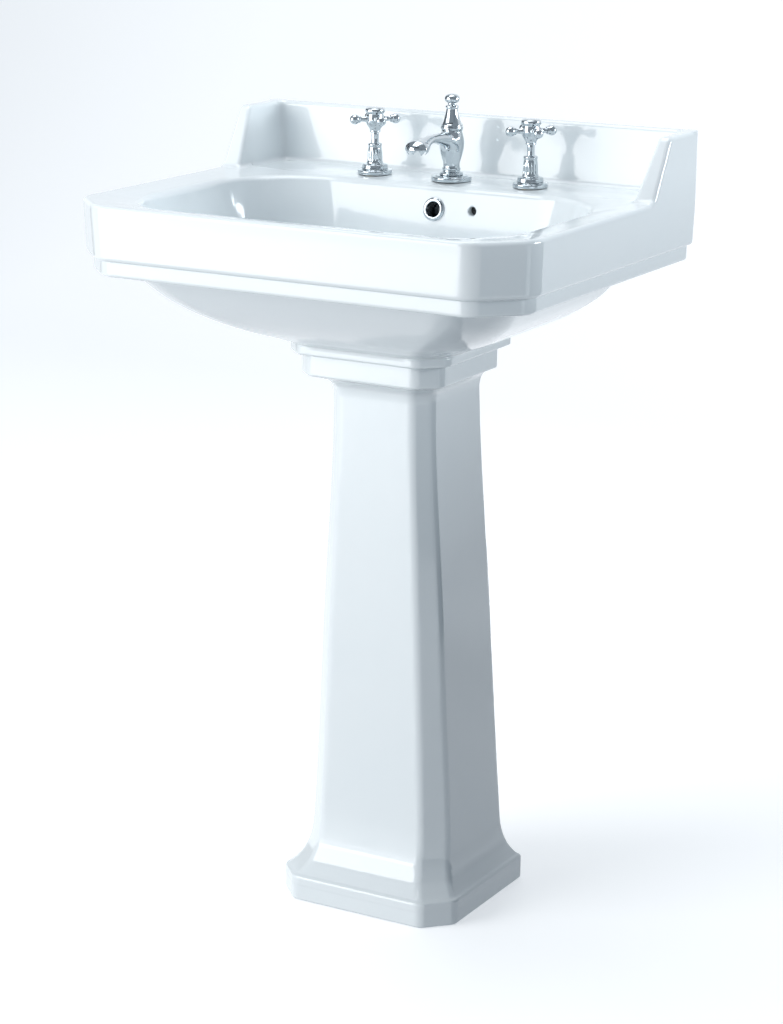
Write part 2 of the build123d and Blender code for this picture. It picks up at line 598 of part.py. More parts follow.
with BuildPart() as spout_cap:
    revolve(profile(CENTRE, DECK_Z, [
        (12.3, 58.1), (12.9, 59.0), (12.9, 61.6), (12.0, 62.8), (12.0, 64.0), (10.8, 65.2),
        (10.2, 66.6), (9.2, 70.0), (8.0, 74.5), (7.0, 79.0), (6.5, 82.6), (7.6, 83.6), (7.6, 85.0),
        (6.6, 86.0),
    ]), axis=upright(CENTRE))
    extrude(disc(CENTRE, DECK_Z + 57.0, ROD_R + RUN), amount=32.0, mode=Mode.SUBTRACT)
spout_cap.part.label = "spout_cap"
export_step(spout_cap.part, "parts/spout_cap.step")

spout_deck_seal = washer(CENTRE, DECK_UNDER_Z - 2.5, 2.5, 15.5, SHANK_R + RUN)
spout_deck_seal.label = "spout_deck_seal"
export_step(spout_deck_seal, "parts/spout_deck_seal.step")

spout_backnut = ring_nut(CENTRE, DECK_UNDER_Z - 11.0, 8.2, 27.0, SHANK_R + RUN)
spout_backnut.label = "spout_backnut"
export_step(spout_backnut, "parts/spout_backnut.step")

with BuildPart() as link_tee:
    revolve(profile(CENTRE, DECK_Z, [(14.0, -52.0), (15.0, -51.0), (15.0, -29.0), (13.6, -27.6)]),
            axis=upright(CENTRE))
    extrude(cross_end(-TEE_BRANCH, TAP_Y, LINK_Z, 7.5), amount=2 * TEE_BRANCH)
    extrude(cross_end(-TEE_BRANCH - 1, TAP_Y, LINK_Z, LINK_R + RUN), amount=2 * TEE_BRANCH + 2,
            mode=Mode.SUBTRACT)
    extrude(disc(CENTRE, DECK_Z - 48.0, SHANK_R + RUN), amount=22.0, mode=Mode.SUBTRACT)
    extrude(disc(CENTRE, DECK_Z - 54.0, ROD_R + RUN), amount=10.0, mode=Mode.SUBTRACT)
link_tee.part.label = "link_tee"
export_step(link_tee.part, "parts/link_tee.step")

with BuildPart() as link_tubes:
    for side in (-1, 1):
        near, far = 16.0, TAP_X - 15.0
        start = near if side > 0 else -far
        extrude(cross_end(start, TAP_Y, LINK_Z, LINK_R), amount=far - near)
        extrude(cross_end(start - 1, TAP_Y, LINK_Z, LINK_R - 1.0), amount=far - near + 2,
                mode=Mode.SUBTRACT)
link_tubes.part.label = "link_tubes"
export_step(link_tubes.part, "parts/link_tubes.step")

valve_end = TAP_X - 22.0
link_nuts = Compound(children=[
    side_nut(TEE_BRANCH + GAP, TEE_BRANCH + 12.0, 17.0, LINK_R + RUN),
    side_nut(-TEE_BRANCH - 12.0, -TEE_BRANCH - GAP, 17.0, LINK_R + RUN),
    side_nut(valve_end - 12.0, valve_end - GAP, 17.0, LINK_R + RUN),
    side_nut(-valve_end + GAP, -valve_end + 12.0, 17.0, LINK_R + RUN),
])
link_nuts.label = "link_nuts"
export_step(link_nuts, "parts/link_nuts.step")

# ---------------------------------------------------------------- pop-up lift
ROD_END_Z = BOWL_FLOOR_Z - 44.5
STRAP_Y = TAP_Y
LEVER_OUT = (STRAP_Y - LEVER_PIVOT_Y) / math.cos(math.radians(LEVER_TILT))
LEVER_IN = (LEVER_PIVOT_Y - WASTE_Y) / math.cos(math.radians(LEVER_TILT))
STRAP_HOLE_Z = LEVER_Z - LEVER_OUT * math.sin(math.radians(LEVER_TILT))
PLUG_HOLE_Z = LEVER_Z + LEVER_IN * math.sin(math.radians(LEVER_TILT))
PLUG_HOLE_R = 4.0
BALL_R = 6.0

with BuildPart() as lift_knob:
    revolve(profile(CENTRE, DECK_Z, [
        (4.6, 86.4), (5.4, 87.4), (4.8, 88.6), (6.6, 89.4), (8.2, 90.8), (8.85, 93.0),
        (8.5, 95.2), (7.2, 97.2), (4.8, 98.5), (2.2, 99.0),
    ]), axis=upright(CENTRE))
    extrude(disc(CENTRE, DECK_Z + 85.0, ROD_R + 0.005), amount=8.0, mode=Mode.SUBTRACT)
lift_knob.part.label = "lift_knob"
export_step(lift_knob.part, "parts/lift_knob.step")

with BuildPart() as lift_rod:
    extrude(disc(CENTRE, ROD_END_Z, ROD_R), amount=DECK_Z + 93.0 - ROD_END_Z)
lift_rod.part.label = "lift_rod"
export_step(lift_rod.part, "parts/lift_rod.step")

with BuildPart() as rod_clamp:
    with BuildSketch(Plane.XY.offset(ROD_END_Z - 2)) as clamp_block:
        with Locations(CENTRE):
            RectangleRounded(14.0, 14.0, 2.0)
    extrude(amount=16.0)
    with BuildSketch(Plane.XY.offset(STRAP_HOLE_Z - 9)) as strap:
        with Locations((0, STRAP_Y)):
            Rectangle(12.0, 2.0)
    extrude(amount=ROD_END_Z - STRAP_HOLE_Z + 8)
    extrude(disc(CENTRE, ROD_END_Z - GAP, ROD_R + 0.005), amount=20.0, mode=Mode.SUBTRACT)
    for step in range(3):
        extrude(bar_end(0, STRAP_HOLE_Z + 11.0 * step, STRAP_Y + 2, 3.6), amount=4.0, mode=Mode.SUBTRACT)
    extrude(bar_end(0, ROD_END_Z + 7, STRAP_Y + 10, 2.05), amount=10.0, mode=Mode.SUBTRACT)
rod_clamp.part.label = "rod_clamp"
export_step(rod_clamp.part, "parts/rod_clamp.step")

with BuildPart() as clamp_screw:
    extrude(bar_end(0, ROD_END_Z + 7, STRAP_Y + 12, 2.0), amount=12.0 - ROD_R - 0.05)
    extrude(bar_end(0, ROD_END_Z + 7, STRAP_Y + 17, 6.0), amount=17.0 - 7.3)
clamp_screw.part.label = "clamp_screw"
export_step(clamp_screw.part, "parts/clamp_screw.step")

with BuildPart() as pivot_rod:
    tilt = math.radians(LEVER_TILT)
    lever_dir = Vector(0, math.cos(tilt), -math.sin(tilt))
    pivot_at = Vector(0, LEVER_PIVOT_Y, LEVER_Z)
    with BuildSketch(Plane(origin=pivot_at - lever_dir * (LEVER_IN + 3.5), z_dir=lever_dir)):
        Circle(ROD_R)
    extrude(amount=LEVER_IN + 3.5 + LEVER_OUT + 11.0)
    with Locations(pivot_at):
        Sphere(BALL_R)
pivot_rod.part.label = "pivot_rod"
export_step(pivot_rod.part, "parts/pivot_rod.step")

# ---------------------------------------------------------------- waste
WASTE_R = 20.95
TAIL_TUBE_R = 16.0
PORT_R = 10.0
TAIL_JOIN = -50.0

with BuildPart() as waste_body:
    revolve(profile(WASTE, BOWL_FLOOR_Z, [
        (WASTE_R, TAIL_JOIN), (WASTE_R, -3.0), (31.0, -3.0), (31.6, -2.2), (31.2, -0.8),
        (29.6, 0.4), (24.0, -0.2), (19.6, -1.8),
    ]), axis=upright(WASTE))
    extrude(disc(WASTE, BOWL_FLOOR_Z - 6.8, 19.4), amount=12.0, mode=Mode.SUBTRACT)
    extrude(disc(WASTE, BOWL_FLOOR_Z + TAIL_JOIN - 1, 16.5), amount=60.0, mode=Mode.SUBTRACT)
    slot_plane = Plane(origin=(0, WASTE_Y, BOWL_FLOOR_Z - 15.0), x_dir=(1, 0, 0), z_dir=(0, 1, 0))
    with BuildSketch(slot_plane) as slots:
        RectangleRounded(16.0, 8.0, 2.0)
    extrude(amount=30.0, both=True, mode=Mode.SUBTRACT)
waste_body.part.label = "waste_body"
export_step(waste_body.part, "parts/waste_body.step")

waste_seal = washer(WASTE, BOWL_FLOOR_Z - 4, 0.95, 30.0, WASTE_R + RUN)
waste_seal.label = "waste_seal"
export_step(waste_seal, "parts/waste_seal.step")

waste_washer = washer(WASTE, BASIN_UNDER_Z - 3.0, 3.0, 30.0, WASTE_R + RUN)
waste_washer.label = "waste_washer"
export_step(waste_washer, "parts/waste_washer.step")

waste_locknut = ring_nut(WASTE, BASIN_UNDER_Z - 10.6, 7.3, 50.0, WASTE_R + RUN)
waste_locknut.label = "waste_locknut"
export_step(waste_locknut, "parts/waste_locknut.step")

with BuildPart() as waste_tail:
    revolve(profile(WASTE, BOWL_FLOOR_Z, [
        (TAIL_TUBE_R, -122.0), (TAIL_TUBE_R, -91.0), (21.0, -85.0), (21.0, -58.0), (23.6, -56.0),
        (23.6, -39.4),
    ]), axis=upright(WASTE))
    extrude(bar_end(0, LEVER_Z, LEVER_PIVOT_Y + 11, PORT_R), amount=30.0)
    revolve(profile(WASTE, BOWL_FLOOR_Z, [
        (14.5, -123.0), (14.5, -90.0), (17.5, -85.0), (17.5, TAIL_JOIN - 0.5),
        (WASTE_R + 0.05, TAIL_JOIN - 0.4), (WASTE_R + 0.05, -38.0),
    ]), axis=upright(WASTE), mode=Mode.SUBTRACT)
    extrude(bar_end(0, LEVER_Z, LEVER_PIVOT_Y + 12, BALL_R + RUN), amount=30.0, mode=Mode.SUBTRACT)
waste_tail.part.label = "waste_tail"
export_step(waste_tail.part, "parts/waste_tail.step")

with BuildPart() as pivot_nut:
    with BuildSketch(Plane(origin=(0, LEVER_PIVOT_Y + 3, LEVER_Z), x_dir=(1, 0, 0), z_dir=(0, 1, 0))):
        RegularPolygon(12.5, 6, major_radius=False)
    extrude(amount=12.5)
    extrude(bar_end(0, LEVER_Z, LEVER_PIVOT_Y + 11.3, PORT_R + RUN), amount=20.0, mode=Mode.SUBTRACT)
    extrude(bar_end(0, LEVER_Z, LEVER_PIVOT_Y + 20, 5.4), amount=30.0, mode=Mode.SUBTRACT)
pivot_nut.part.label = "pivot_nut"
export_step(pivot_nut.part, "parts/pivot_nut.step")

with BuildPart() as plug:
    revolve(profile(WASTE, BOWL_FLOOR_Z, [
        (4.0, PLUG_HOLE_Z + 8 - BOWL_FLOOR_Z), (4.0, 4.6), (17.6, 4.8), (18.9, 5.8), (18.6, 7.4),
        (15.0, 9.0), (9.0, 10.0), (3.0, 10.3),
    ]), axis=upright(WASTE))
    with BuildSketch(Plane.XY.offset(BOWL_FLOOR_Z - 38.0)) as fins:
        for turn in (0, 60, 120):
            with Locations(Location((0, WASTE_Y, 0), (0, 0, turn))):
                Rectangle(31.0, 1.8)
    extrude(amount=36.0)
    with BuildSketch(Plane(origin=(0, WASTE_Y - 1.5, PLUG_HOLE_Z), x_dir=(1, 0, 0), z_dir=(0, 1, 0))):
        with Locations((0, -1.5)):
            RectangleRounded(13.0, 20.0, 4.0)
    extrude(amount=3.0)
    extrude(bar_end(0, PLUG_HOLE_Z, WASTE_Y + 5, PLUG_HOLE_R), amount=10.0, mode=Mode.SUBTRACT)
plug.part.label = "plug"
export_step(plug.part, "parts/plug.step")

with BuildPart() as plug_seal:
    revolve(profile(WASTE, BOWL_FLOOR_Z, [(16.8, 1.6), (18.2, 2.4), (18.2, 3.6), (17.2, 4.5)]),
            axis=upright(WASTE))
    extrude(disc(WASTE, BOWL_FLOOR_Z, 4.02), amount=6.0, mode=Mode.SUBTRACT)
plug_seal.part.label = "plug_seal"
export_step(plug_seal.part, "parts/plug_seal.step")

# ---------------------------------------------------------------- bottle trap
TRAP_TOP_Z = BOWL_FLOOR_Z - 114.0
TRAP_JOIN = -74.0
TRAP_FLOOR = -134.0
TRAP_BACK = WASTE_Y + 69.0
OUT_PIPE_R = 16.2

with BuildPart() as trap_body:
    revolve(profile(WASTE, TRAP_TOP_Z, [
        (27.0, TRAP_JOIN), (27.0, -61.0), (TRAP_R, -60.0), (TRAP_R, -5),
        (25.0, 0.0), (21.0, 0.0), (21.0, 10.0),
    ]), axis=upright(WASTE))
    extrude(bar_end(0, TRAP_OUT_Z, TRAP_BACK, 19.0), amount=TRAP_BACK - WASTE_Y - 20)
    revolve(profile(WASTE, TRAP_TOP_Z, [
        (24.4, TRAP_JOIN - 1), (24.4, -59.0), (TRAP_R - 3, -56.0), (TRAP_R - 3, -7), (20.0, -4),
    ]), axis=upright(WASTE), mode=Mode.SUBTRACT)
    extrude(disc(WASTE, TRAP_TOP_Z - 6, TAIL_TUBE_R + RUN), amount=20.0, mode=Mode.SUBTRACT)
    extrude(bar_end(0, TRAP_OUT_Z, TRAP_BACK + 1, OUT_PIPE_R), amount=30.0, mode=Mode.SUBTRACT)
    extrude(bar_end(0, TRAP_OUT_Z, TRAP_BACK - 24, 14.0), amount=30.0, mode=Mode.SUBTRACT)
trap_body.part.label = "trap_body"
export_step(trap_body.part, "parts/trap_body.step")

with BuildPart() as trap_inlet_nut:
    extrude(disc(WASTE, TRAP_TOP_Z + 1.0, 25.5), amount=16.0)
    with BuildSketch(Plane.XY.offset(TRAP_TOP_Z + 2.5)) as grips:
        with Locations(WASTE):
            with PolarLocations(26.6, 16):
                Circle(1.8)
    extrude(amount=13.0, mode=Mode.SUBTRACT)
    extrude(disc(WASTE, TRAP_TOP_Z, 21.0 + RUN), amount=10.3, mode=Mode.SUBTRACT)
    extrude(disc(WASTE, TRAP_TOP_Z, TAIL_TUBE_R + RUN), amount=20.0, mode=Mode.SUBTRACT)
trap_inlet_nut.part.label = "trap_inlet_nut"
export_step(trap_inlet_nut.part, "parts/trap_inlet_nut.step")

with BuildPart() as trap_dip_tube:
    extrude(disc(WASTE, TRAP_TOP_Z - 112.0, 15.6), amount=103.5)
    extrude(disc(WASTE, TRAP_TOP_Z - 113.0, 14.2), amount=106.0, mode=Mode.SUBTRACT)
trap_dip_tube.part.label = "trap_dip_tube"
export_step(trap_dip_tube.part, "parts/trap_dip_tube.step")

with BuildPart() as trap_cup:
    revolve(profile(WASTE, TRAP_TOP_Z, [
        (20.0, TRAP_FLOOR), (26.0, TRAP_FLOOR + 2), (29.0, TRAP_FLOOR + 6), (30.5, TRAP_FLOOR + 14),
        (30.5, -61.3),
    ]), axis=upright(WASTE))
    with BuildSketch(Plane.XY.offset(TRAP_TOP_Z + TRAP_FLOOR + 16)) as cup_grips:
        with Locations(WASTE):
            with PolarLocations(31.4, 18):
                Circle(1.7)
    extrude(amount=36.0, mode=Mode.SUBTRACT)
    extrude(disc(WASTE, TRAP_TOP_Z + TRAP_JOIN - 0.5, 27.0 + RUN), amount=20.0, mode=Mode.SUBTRACT)
    revolve(profile(WASTE, TRAP_TOP_Z, [
        (18.0, TRAP_FLOOR + 3), (24.0, TRAP_FLOOR + 6), (27.0, TRAP_FLOOR + 14), (27.0, TRAP_JOIN),
    ]), axis=upright(WASTE), mode=Mode.SUBTRACT)
trap_cup.part.label = "trap_cup"
export_step(trap_cup.part, "parts/trap_cup.step")

with BuildPart() as trap_outlet_nut:
    with BuildSketch(Plane(origin=(0, TRAP_BACK - 12, TRAP_OUT_Z), x_dir=(1, 0, 0), z_dir=(0, 1, 0))):
        RegularPolygon(23.0, 8, major_radius=False)
    extrude(amount=15.0)
    extrude(bar_end(0, TRAP_OUT_Z, TRAP_BACK + 0.3, 19.0 + RUN), amount=20.0, mode=Mode.SUBTRACT)
    extrude(bar_end(0, TRAP_OUT_Z, TRAP_BACK + 6, OUT_PIPE_R), amount=20.0, mode=Mode.SUBTRACT)
trap_outlet_nut.part.label = "trap_outlet_nut"
export_step(trap_outlet_nut.part, "parts/trap_outlet_nut.step")
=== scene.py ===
import json
import math

import bpy
import numpy as np
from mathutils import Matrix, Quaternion, Vector


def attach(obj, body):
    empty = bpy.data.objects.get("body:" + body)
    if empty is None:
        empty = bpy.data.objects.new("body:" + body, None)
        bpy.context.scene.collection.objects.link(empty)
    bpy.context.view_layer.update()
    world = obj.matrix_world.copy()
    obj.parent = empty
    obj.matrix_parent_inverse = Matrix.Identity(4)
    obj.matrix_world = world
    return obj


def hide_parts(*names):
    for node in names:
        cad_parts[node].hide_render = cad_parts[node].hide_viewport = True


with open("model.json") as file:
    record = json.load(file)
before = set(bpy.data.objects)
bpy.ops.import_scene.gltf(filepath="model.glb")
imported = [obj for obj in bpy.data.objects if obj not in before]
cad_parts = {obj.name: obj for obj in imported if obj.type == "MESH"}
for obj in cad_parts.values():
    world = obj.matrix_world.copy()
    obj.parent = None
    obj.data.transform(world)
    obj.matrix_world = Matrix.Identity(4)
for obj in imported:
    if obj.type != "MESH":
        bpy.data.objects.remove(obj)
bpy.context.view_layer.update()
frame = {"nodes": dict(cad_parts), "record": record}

MM = 0.001
RIM_Z, APRON_Z, TIER_Z, UPSTAND_Z, DECK_Z = 834.0, 773.0, 755.0, 902.0, 832.0
HALF_W, FRONT, WALL = 280.0, -225.0, 225.0
PLINTH_Z, PEDESTAL_H = 668.0, 657.0
TAP_X, TAP_Y, WASTE_Y = 101.6, 159.0, 35.0
OVERFLOW_Y, OVERFLOW_Z, WALL_LEAN = 118.5, 803.4, math.radians(11.5)
CHAIN_X, CHAIN_Z = 49.0, 805.0
RECESS_FRONT, RECESS_BACK, RECESS_TOP = 141.0, 207.0, 816.0
TAP_HOLE_R, WASTE_HOLE_R, WASTE_SEAT_R, OVERFLOW_HOLE_R, CHAIN_HOLE_R = 14.0, 23.0, 33.5, 10.5, 5.0
FIXING_X, FIXING_Z, FIXING_HOLE_R = 140.0, 785.0, 6.5
LUG_X, LUG_Y, LUG_HOLE_X, LUG_HOLE_R = 92.0, 112.0, 91.0, 3.6
HANDLE_ANGLE, HANDLE_Z, HANDLE_ARMS = 46.0, 895.5, 4
PETAL_LOW, PETAL_HIGH, PETAL_DEPTH = 846.5, 861.0, 0.85
LIP_DEPTH, LIP_RISE = 6.4, 2.2
CRISP_ANGLE = math.radians(38)
VIEW_HEIGHT, SENSOR, FOCAL = 1024.0, 36.0, 2735.3


# ---------------------------------------------------------------- shader maths
class Sock:
    """A node socket with arithmetic on values."""

    def __init__(self, tree, out):
        self.tree, self.out = tree, out

    def _math(self, op, other, swap=False):
        pair = (other, self) if swap else (self, other)
        return self.tree.node("ShaderNodeMath", {"operation": op}, {0: pair[0], 1: pair[1]})["Value"]

    def __add__(self, other):
        return self._math("ADD", other)

    __radd__ = __add__

    def __mul__(self, other):
        return self._math("MULTIPLY", other)

    __rmul__ = __mul__

    def __rsub__(self, other):
        return self._math("SUBTRACT", other, swap=True)

    def clamp(self):
        return self.tree.node("ShaderNodeClamp", {}, {"Value": self})["Result"]


class Outs:
    """A node's outputs by name, each as a Sock."""

    def __init__(self, tree, node):
        self.tree, self.node = tree, node

    def __getitem__(self, name):
        return Sock(self.tree, self.node.outputs[name])


class Finish:
    """One material with a node tree to build on."""

    def __init__(self, name):
        self.mat = bpy.data.materials.new(name)
        self.mat.use_nodes = True
        self.tree = self.mat.node_tree
        self.shader = self.tree.nodes["Principled BSDF"]

    def node(self, kind, settings, sockets):
        made = self.tree.nodes.new(kind)
        for key, value in settings.items():
            setattr(made, key, value)
        for key, value in sockets.items():
            self.put(made.inputs[key], value)
        return Outs(self, made)

    def put(self, socket, value):
        if isinstance(value, Sock):
            self.tree.links.new(value.out, socket)
        else:
            socket.default_value = value

    def set(self, **sockets):
        for key, value in sockets.items():
            self.put(self.shader.inputs[key.replace("_", " ")], value)

    def at(self):
        return self.node("ShaderNodeTexCoord", {}, {})["Object"]

    def noise(self, where, scale, detail=2.0, rough=0.5):
        return self.node("ShaderNodeTexNoise", {}, {
            "Vector": where, "Scale": scale, "Detail": detail, "Roughness": rough})["Fac"]

    def mix(self, factor, low, high):
        outs = self.node("ShaderNodeMix", {"data_type": "RGBA"}, {0: factor, 6: low, 7: high})
        return Sock(self, outs.node.outputs[2])

    def bump(self, height, strength, distance):
        return self.node("ShaderNodeBump", {}, {
            "Height": height, "Strength": strength, "Distance": distance})["Normal"]


def glaze(name):
    """White sanitary glaze: a wet, slightly rippled gloss with faint pooling in tint, and painted shade
    inside the overflow and chain-stay bores.
    """
    fin = Finish(name)
    at = fin.at()
    pool = fin.noise(at, 9.0, 3.0)
    ripple = fin.noise(at, 38.0, 1.0)
    peel = fin.noise(at, 260.0, 2.0)
    tint = fin.mix(pool, (0.83, 0.885, 0.91, 1), (0.875, 0.915, 0.93, 1))
    # painted shade: inside the bores behind the overflow and chain-stay holes the colour goes near black,
    # standing in for the shade deep in them
    for centre, reach in (((0.0, 0.1330, 0.8003), 0.0128), ((CHAIN_X * MM, 0.1350, CHAIN_Z * MM), 0.0105)):
        away = fin.node("ShaderNodeVectorMath", {"operation": "DISTANCE"}, {0: at, 1: centre})["Value"]
        tint = fin.mix(((reach - away) * 900.0).clamp(), tint, (0.012, 0.015, 0.018, 1))
    fin.set(Base_Color=tint, Roughness=0.07 + 0.05 * pool + 0.02 * peel, IOR=1.52)
    fin.set(Coat_Weight=0.35, Coat_Roughness=0.03)
    fin.set(Normal=fin.bump(ripple + 0.12 * peel, 0.16, 0.0012))
    return fin.mat


def plated(name, tint=(0.64, 0.69, 0.72, 1), smear=0.05):
    """Bright chrome plate with faint polishing haze and water marks."""
    fin = Finish(name)
    at = fin.at()
    haze = fin.noise(at, 55.0, 4.0)
    swirl = fin.noise(at, 900.0, 2.0)
    marks = fin.noise(at, 180.0, 3.0)
    dull = tuple(0.93 * part for part in tint[:3]) + (1,)
    fin.set(Base_Color=fin.mix(marks, tint, dull), Metallic=1.0)
    fin.set(Roughness=0.035 + smear * haze + 0.02 * swirl)
    fin.set(Normal=fin.bump(haze + 0.2 * swirl, 0.05, 0.0004))
    return fin.mat


def machined_brass(name):
    """Raw turned brass, a little tarnished."""
    fin = Finish(name)
    at = fin.at()
    tarnish = fin.noise(at, 70.0, 4.0)
    turned = fin.noise(at, 1400.0, 2.0)
    fin.set(Base_Color=fin.mix(tarnish, (0.60, 0.43, 0.19, 1), (0.78, 0.62, 0.33, 1)), Metallic=1.0)
    fin.set(Roughness=0.2 + 0.2 * tarnish + 0.05 * turned)
    fin.set(Normal=fin.bump(turned, 0.15, 0.0003))
    return fin.mat


def seal_rubber(name):
    """Matt black rubber with a dusty bloom."""
    fin = Finish(name)
    at = fin.at()
    bloom = fin.noise(at, 120.0, 4.0)
    fin.set(Base_Color=fin.mix(bloom, (0.015, 0.015, 0.017, 1), (0.06, 0.06, 0.062, 1)))
    fin.set(Roughness=0.6 + 0.25 * bloom, Normal=fin.bump(bloom, 0.25, 0.0004))
    return fin.mat


def moulded_white(name):
    """White moulded plastic with a light spark texture."""
    fin = Finish(name)
    at = fin.at()
    flow = fin.noise(at, 30.0, 2.0)
    spark = fin.noise(at, 1800.0, 2.0)
    fin.set(Base_Color=fin.mix(flow, (0.74, 0.75, 0.74, 1), (0.82, 0.82, 0.80, 1)))
    fin.set(Roughness=0.28 + 0.15 * spark, Normal=fin.bump(spark, 0.12, 0.0002))
    return fin.mat


GLAZE = glaze("white_glaze")
CHROME = plated("chrome_plate")
BRASS = machined_brass("machined_brass")
RUBBER = seal_rubber("seal_rubber")
PLASTIC = moulded_white("moulded_white")
FINISH_OF = {"glazed_ceramic": GLAZE, "chrome": CHROME, "brass": BRASS,
             "black_rubber": RUBBER, "white_plastic": PLASTIC}
SLOT_OF = {part["node"]: part["material_slot"] for part in frame["record"]["subparts"]}
BODY_OF = {node: body for body, nodes in frame["record"]["behaviour"]["bodies"].items() for node in nodes}


# ---------------------------------------------------------------- shape fields (mm)
def rounded(faces, radius):
    """Inside of all the faces, with their edges rounded over."""
    over = sum(np.maximum(face + radius, 0.0) ** 2 for face in faces)
    inside = faces[0]
    for face in faces[1:]:
        inside = np.maximum(inside, face)
    return np.minimum(inside, -radius) + np.sqrt(over)


def joined(a, b, radius):
    """Both shapes, with a fillet where they meet."""
    under = np.sqrt(np.maximum(radius - a, 0.0) ** 2 + np.maximum(radius - b, 0.0) ** 2)
    return np.maximum(np.minimum(a, b), radius) - under


def carved(shape, tool, radius):
    """The shape less the tool, with the new edge rounded over."""
    return rounded([shape, -tool], radius)


def easing(table, z):
    """Smooth values between the rows of (height, value, ...), one array per column."""
    rows = np.array(table)
    heights = rows[:, 0]
    steps = np.diff(heights)
    columns = []
    for values in rows[:, 1:].T:
        slopes = np.diff(values) / steps
        tangent = np.zeros(len(values))
        tangent[0], tangent[-1] = slopes[0], slopes[-1]
        for i in range(1, len(values) - 1):
            if slopes[i - 1] * slopes[i] > 0:
                wa, wb = 2 * steps[i] + steps[i - 1], steps[i] + 2 * steps[i - 1]
                tangent[i] = (wa + wb) / (wa / slopes[i - 1] + wb / slopes[i])
        at = np.clip(z, heights[0], heights[-1])
        i = np.clip(np.searchsorted(heights, at, side="right") - 1, 0, len(steps) - 1)
        t = (at - heights[i]) / steps[i]
        curve = ((1 + 2 * t) * (1 - t) ** 2 * values[i] + t * (1 - t) ** 2 * steps[i] * tangent[i]
                 + t * t * (3 - 2 * t) * values[i + 1] + t * t * (t - 1) * steps[i] * tangent[i + 1])
        columns.append(curve)
    return columns


ROOT2 = math.sqrt(2.0)


def plan(x, y, w, f, b, cut, radius, back_cut=None):
    """Distance in plan from an outline whose front corners are cut at 45 degrees."""
    ax = np.abs(x)
    faces = [ax - w, f - y, y - b, (cut - (w - ax) - (y - f)) / ROOT2]
    if back_cut is not None:
        cx, cy = back_cut
        faces.append((1 - (w - ax) / cx - (b - y) / cy) / np.sqrt(1 / cx ** 2 + 1 / cy ** 2))
    return rounded(faces, radius)


BOWL_OUTSIDE = [
    (PLINTH_Z - 4, 99.0, -54.0, 122.0, 27.0),
    (PLINTH_Z, 103.0, -58.0, 122.0, 28.0),
    (677.0, 121.0, -79.0, 124.0, 31.0),
    (690.0, 157.0, -111.0, 127.0, 36.0),
    (708.0, 190.0, -143.0, 131.0, 40.0),
    (726.0, 214.0, -166.0, 134.0, 43.0),
    (757.0, 240.0, -196.0, 137.0, 46.0),
]
BOWL_INSIDE = [
    (688.0, 72.0, -34.0, 66.0, 20.0, 26.0, 18.0),
    (697.0, 130.0, -82.0, 86.0, 30.0, 44.0, 34.0),
    (711.0, 169.0, -121.0, 99.0, 38.0, 54.0, 46.0),
    (732.0, 199.0, -152.0, 106.0, 42.0, 60.0, 54.0),
    (765.0, 219.0, -175.0, 112.0, 46.0, 63.0, 60.0),
    (OVERFLOW_Z, 228.0, -183.0, OVERFLOW_Y, 48.0, 64.0, 62.0),
    (829.0, 233.0, -187.0, 124.0, 48.0, 64.0, 62.0),
    (846.0, 236.5, -190.0, 127.5, 48.0, 64.0, 62.0),
]


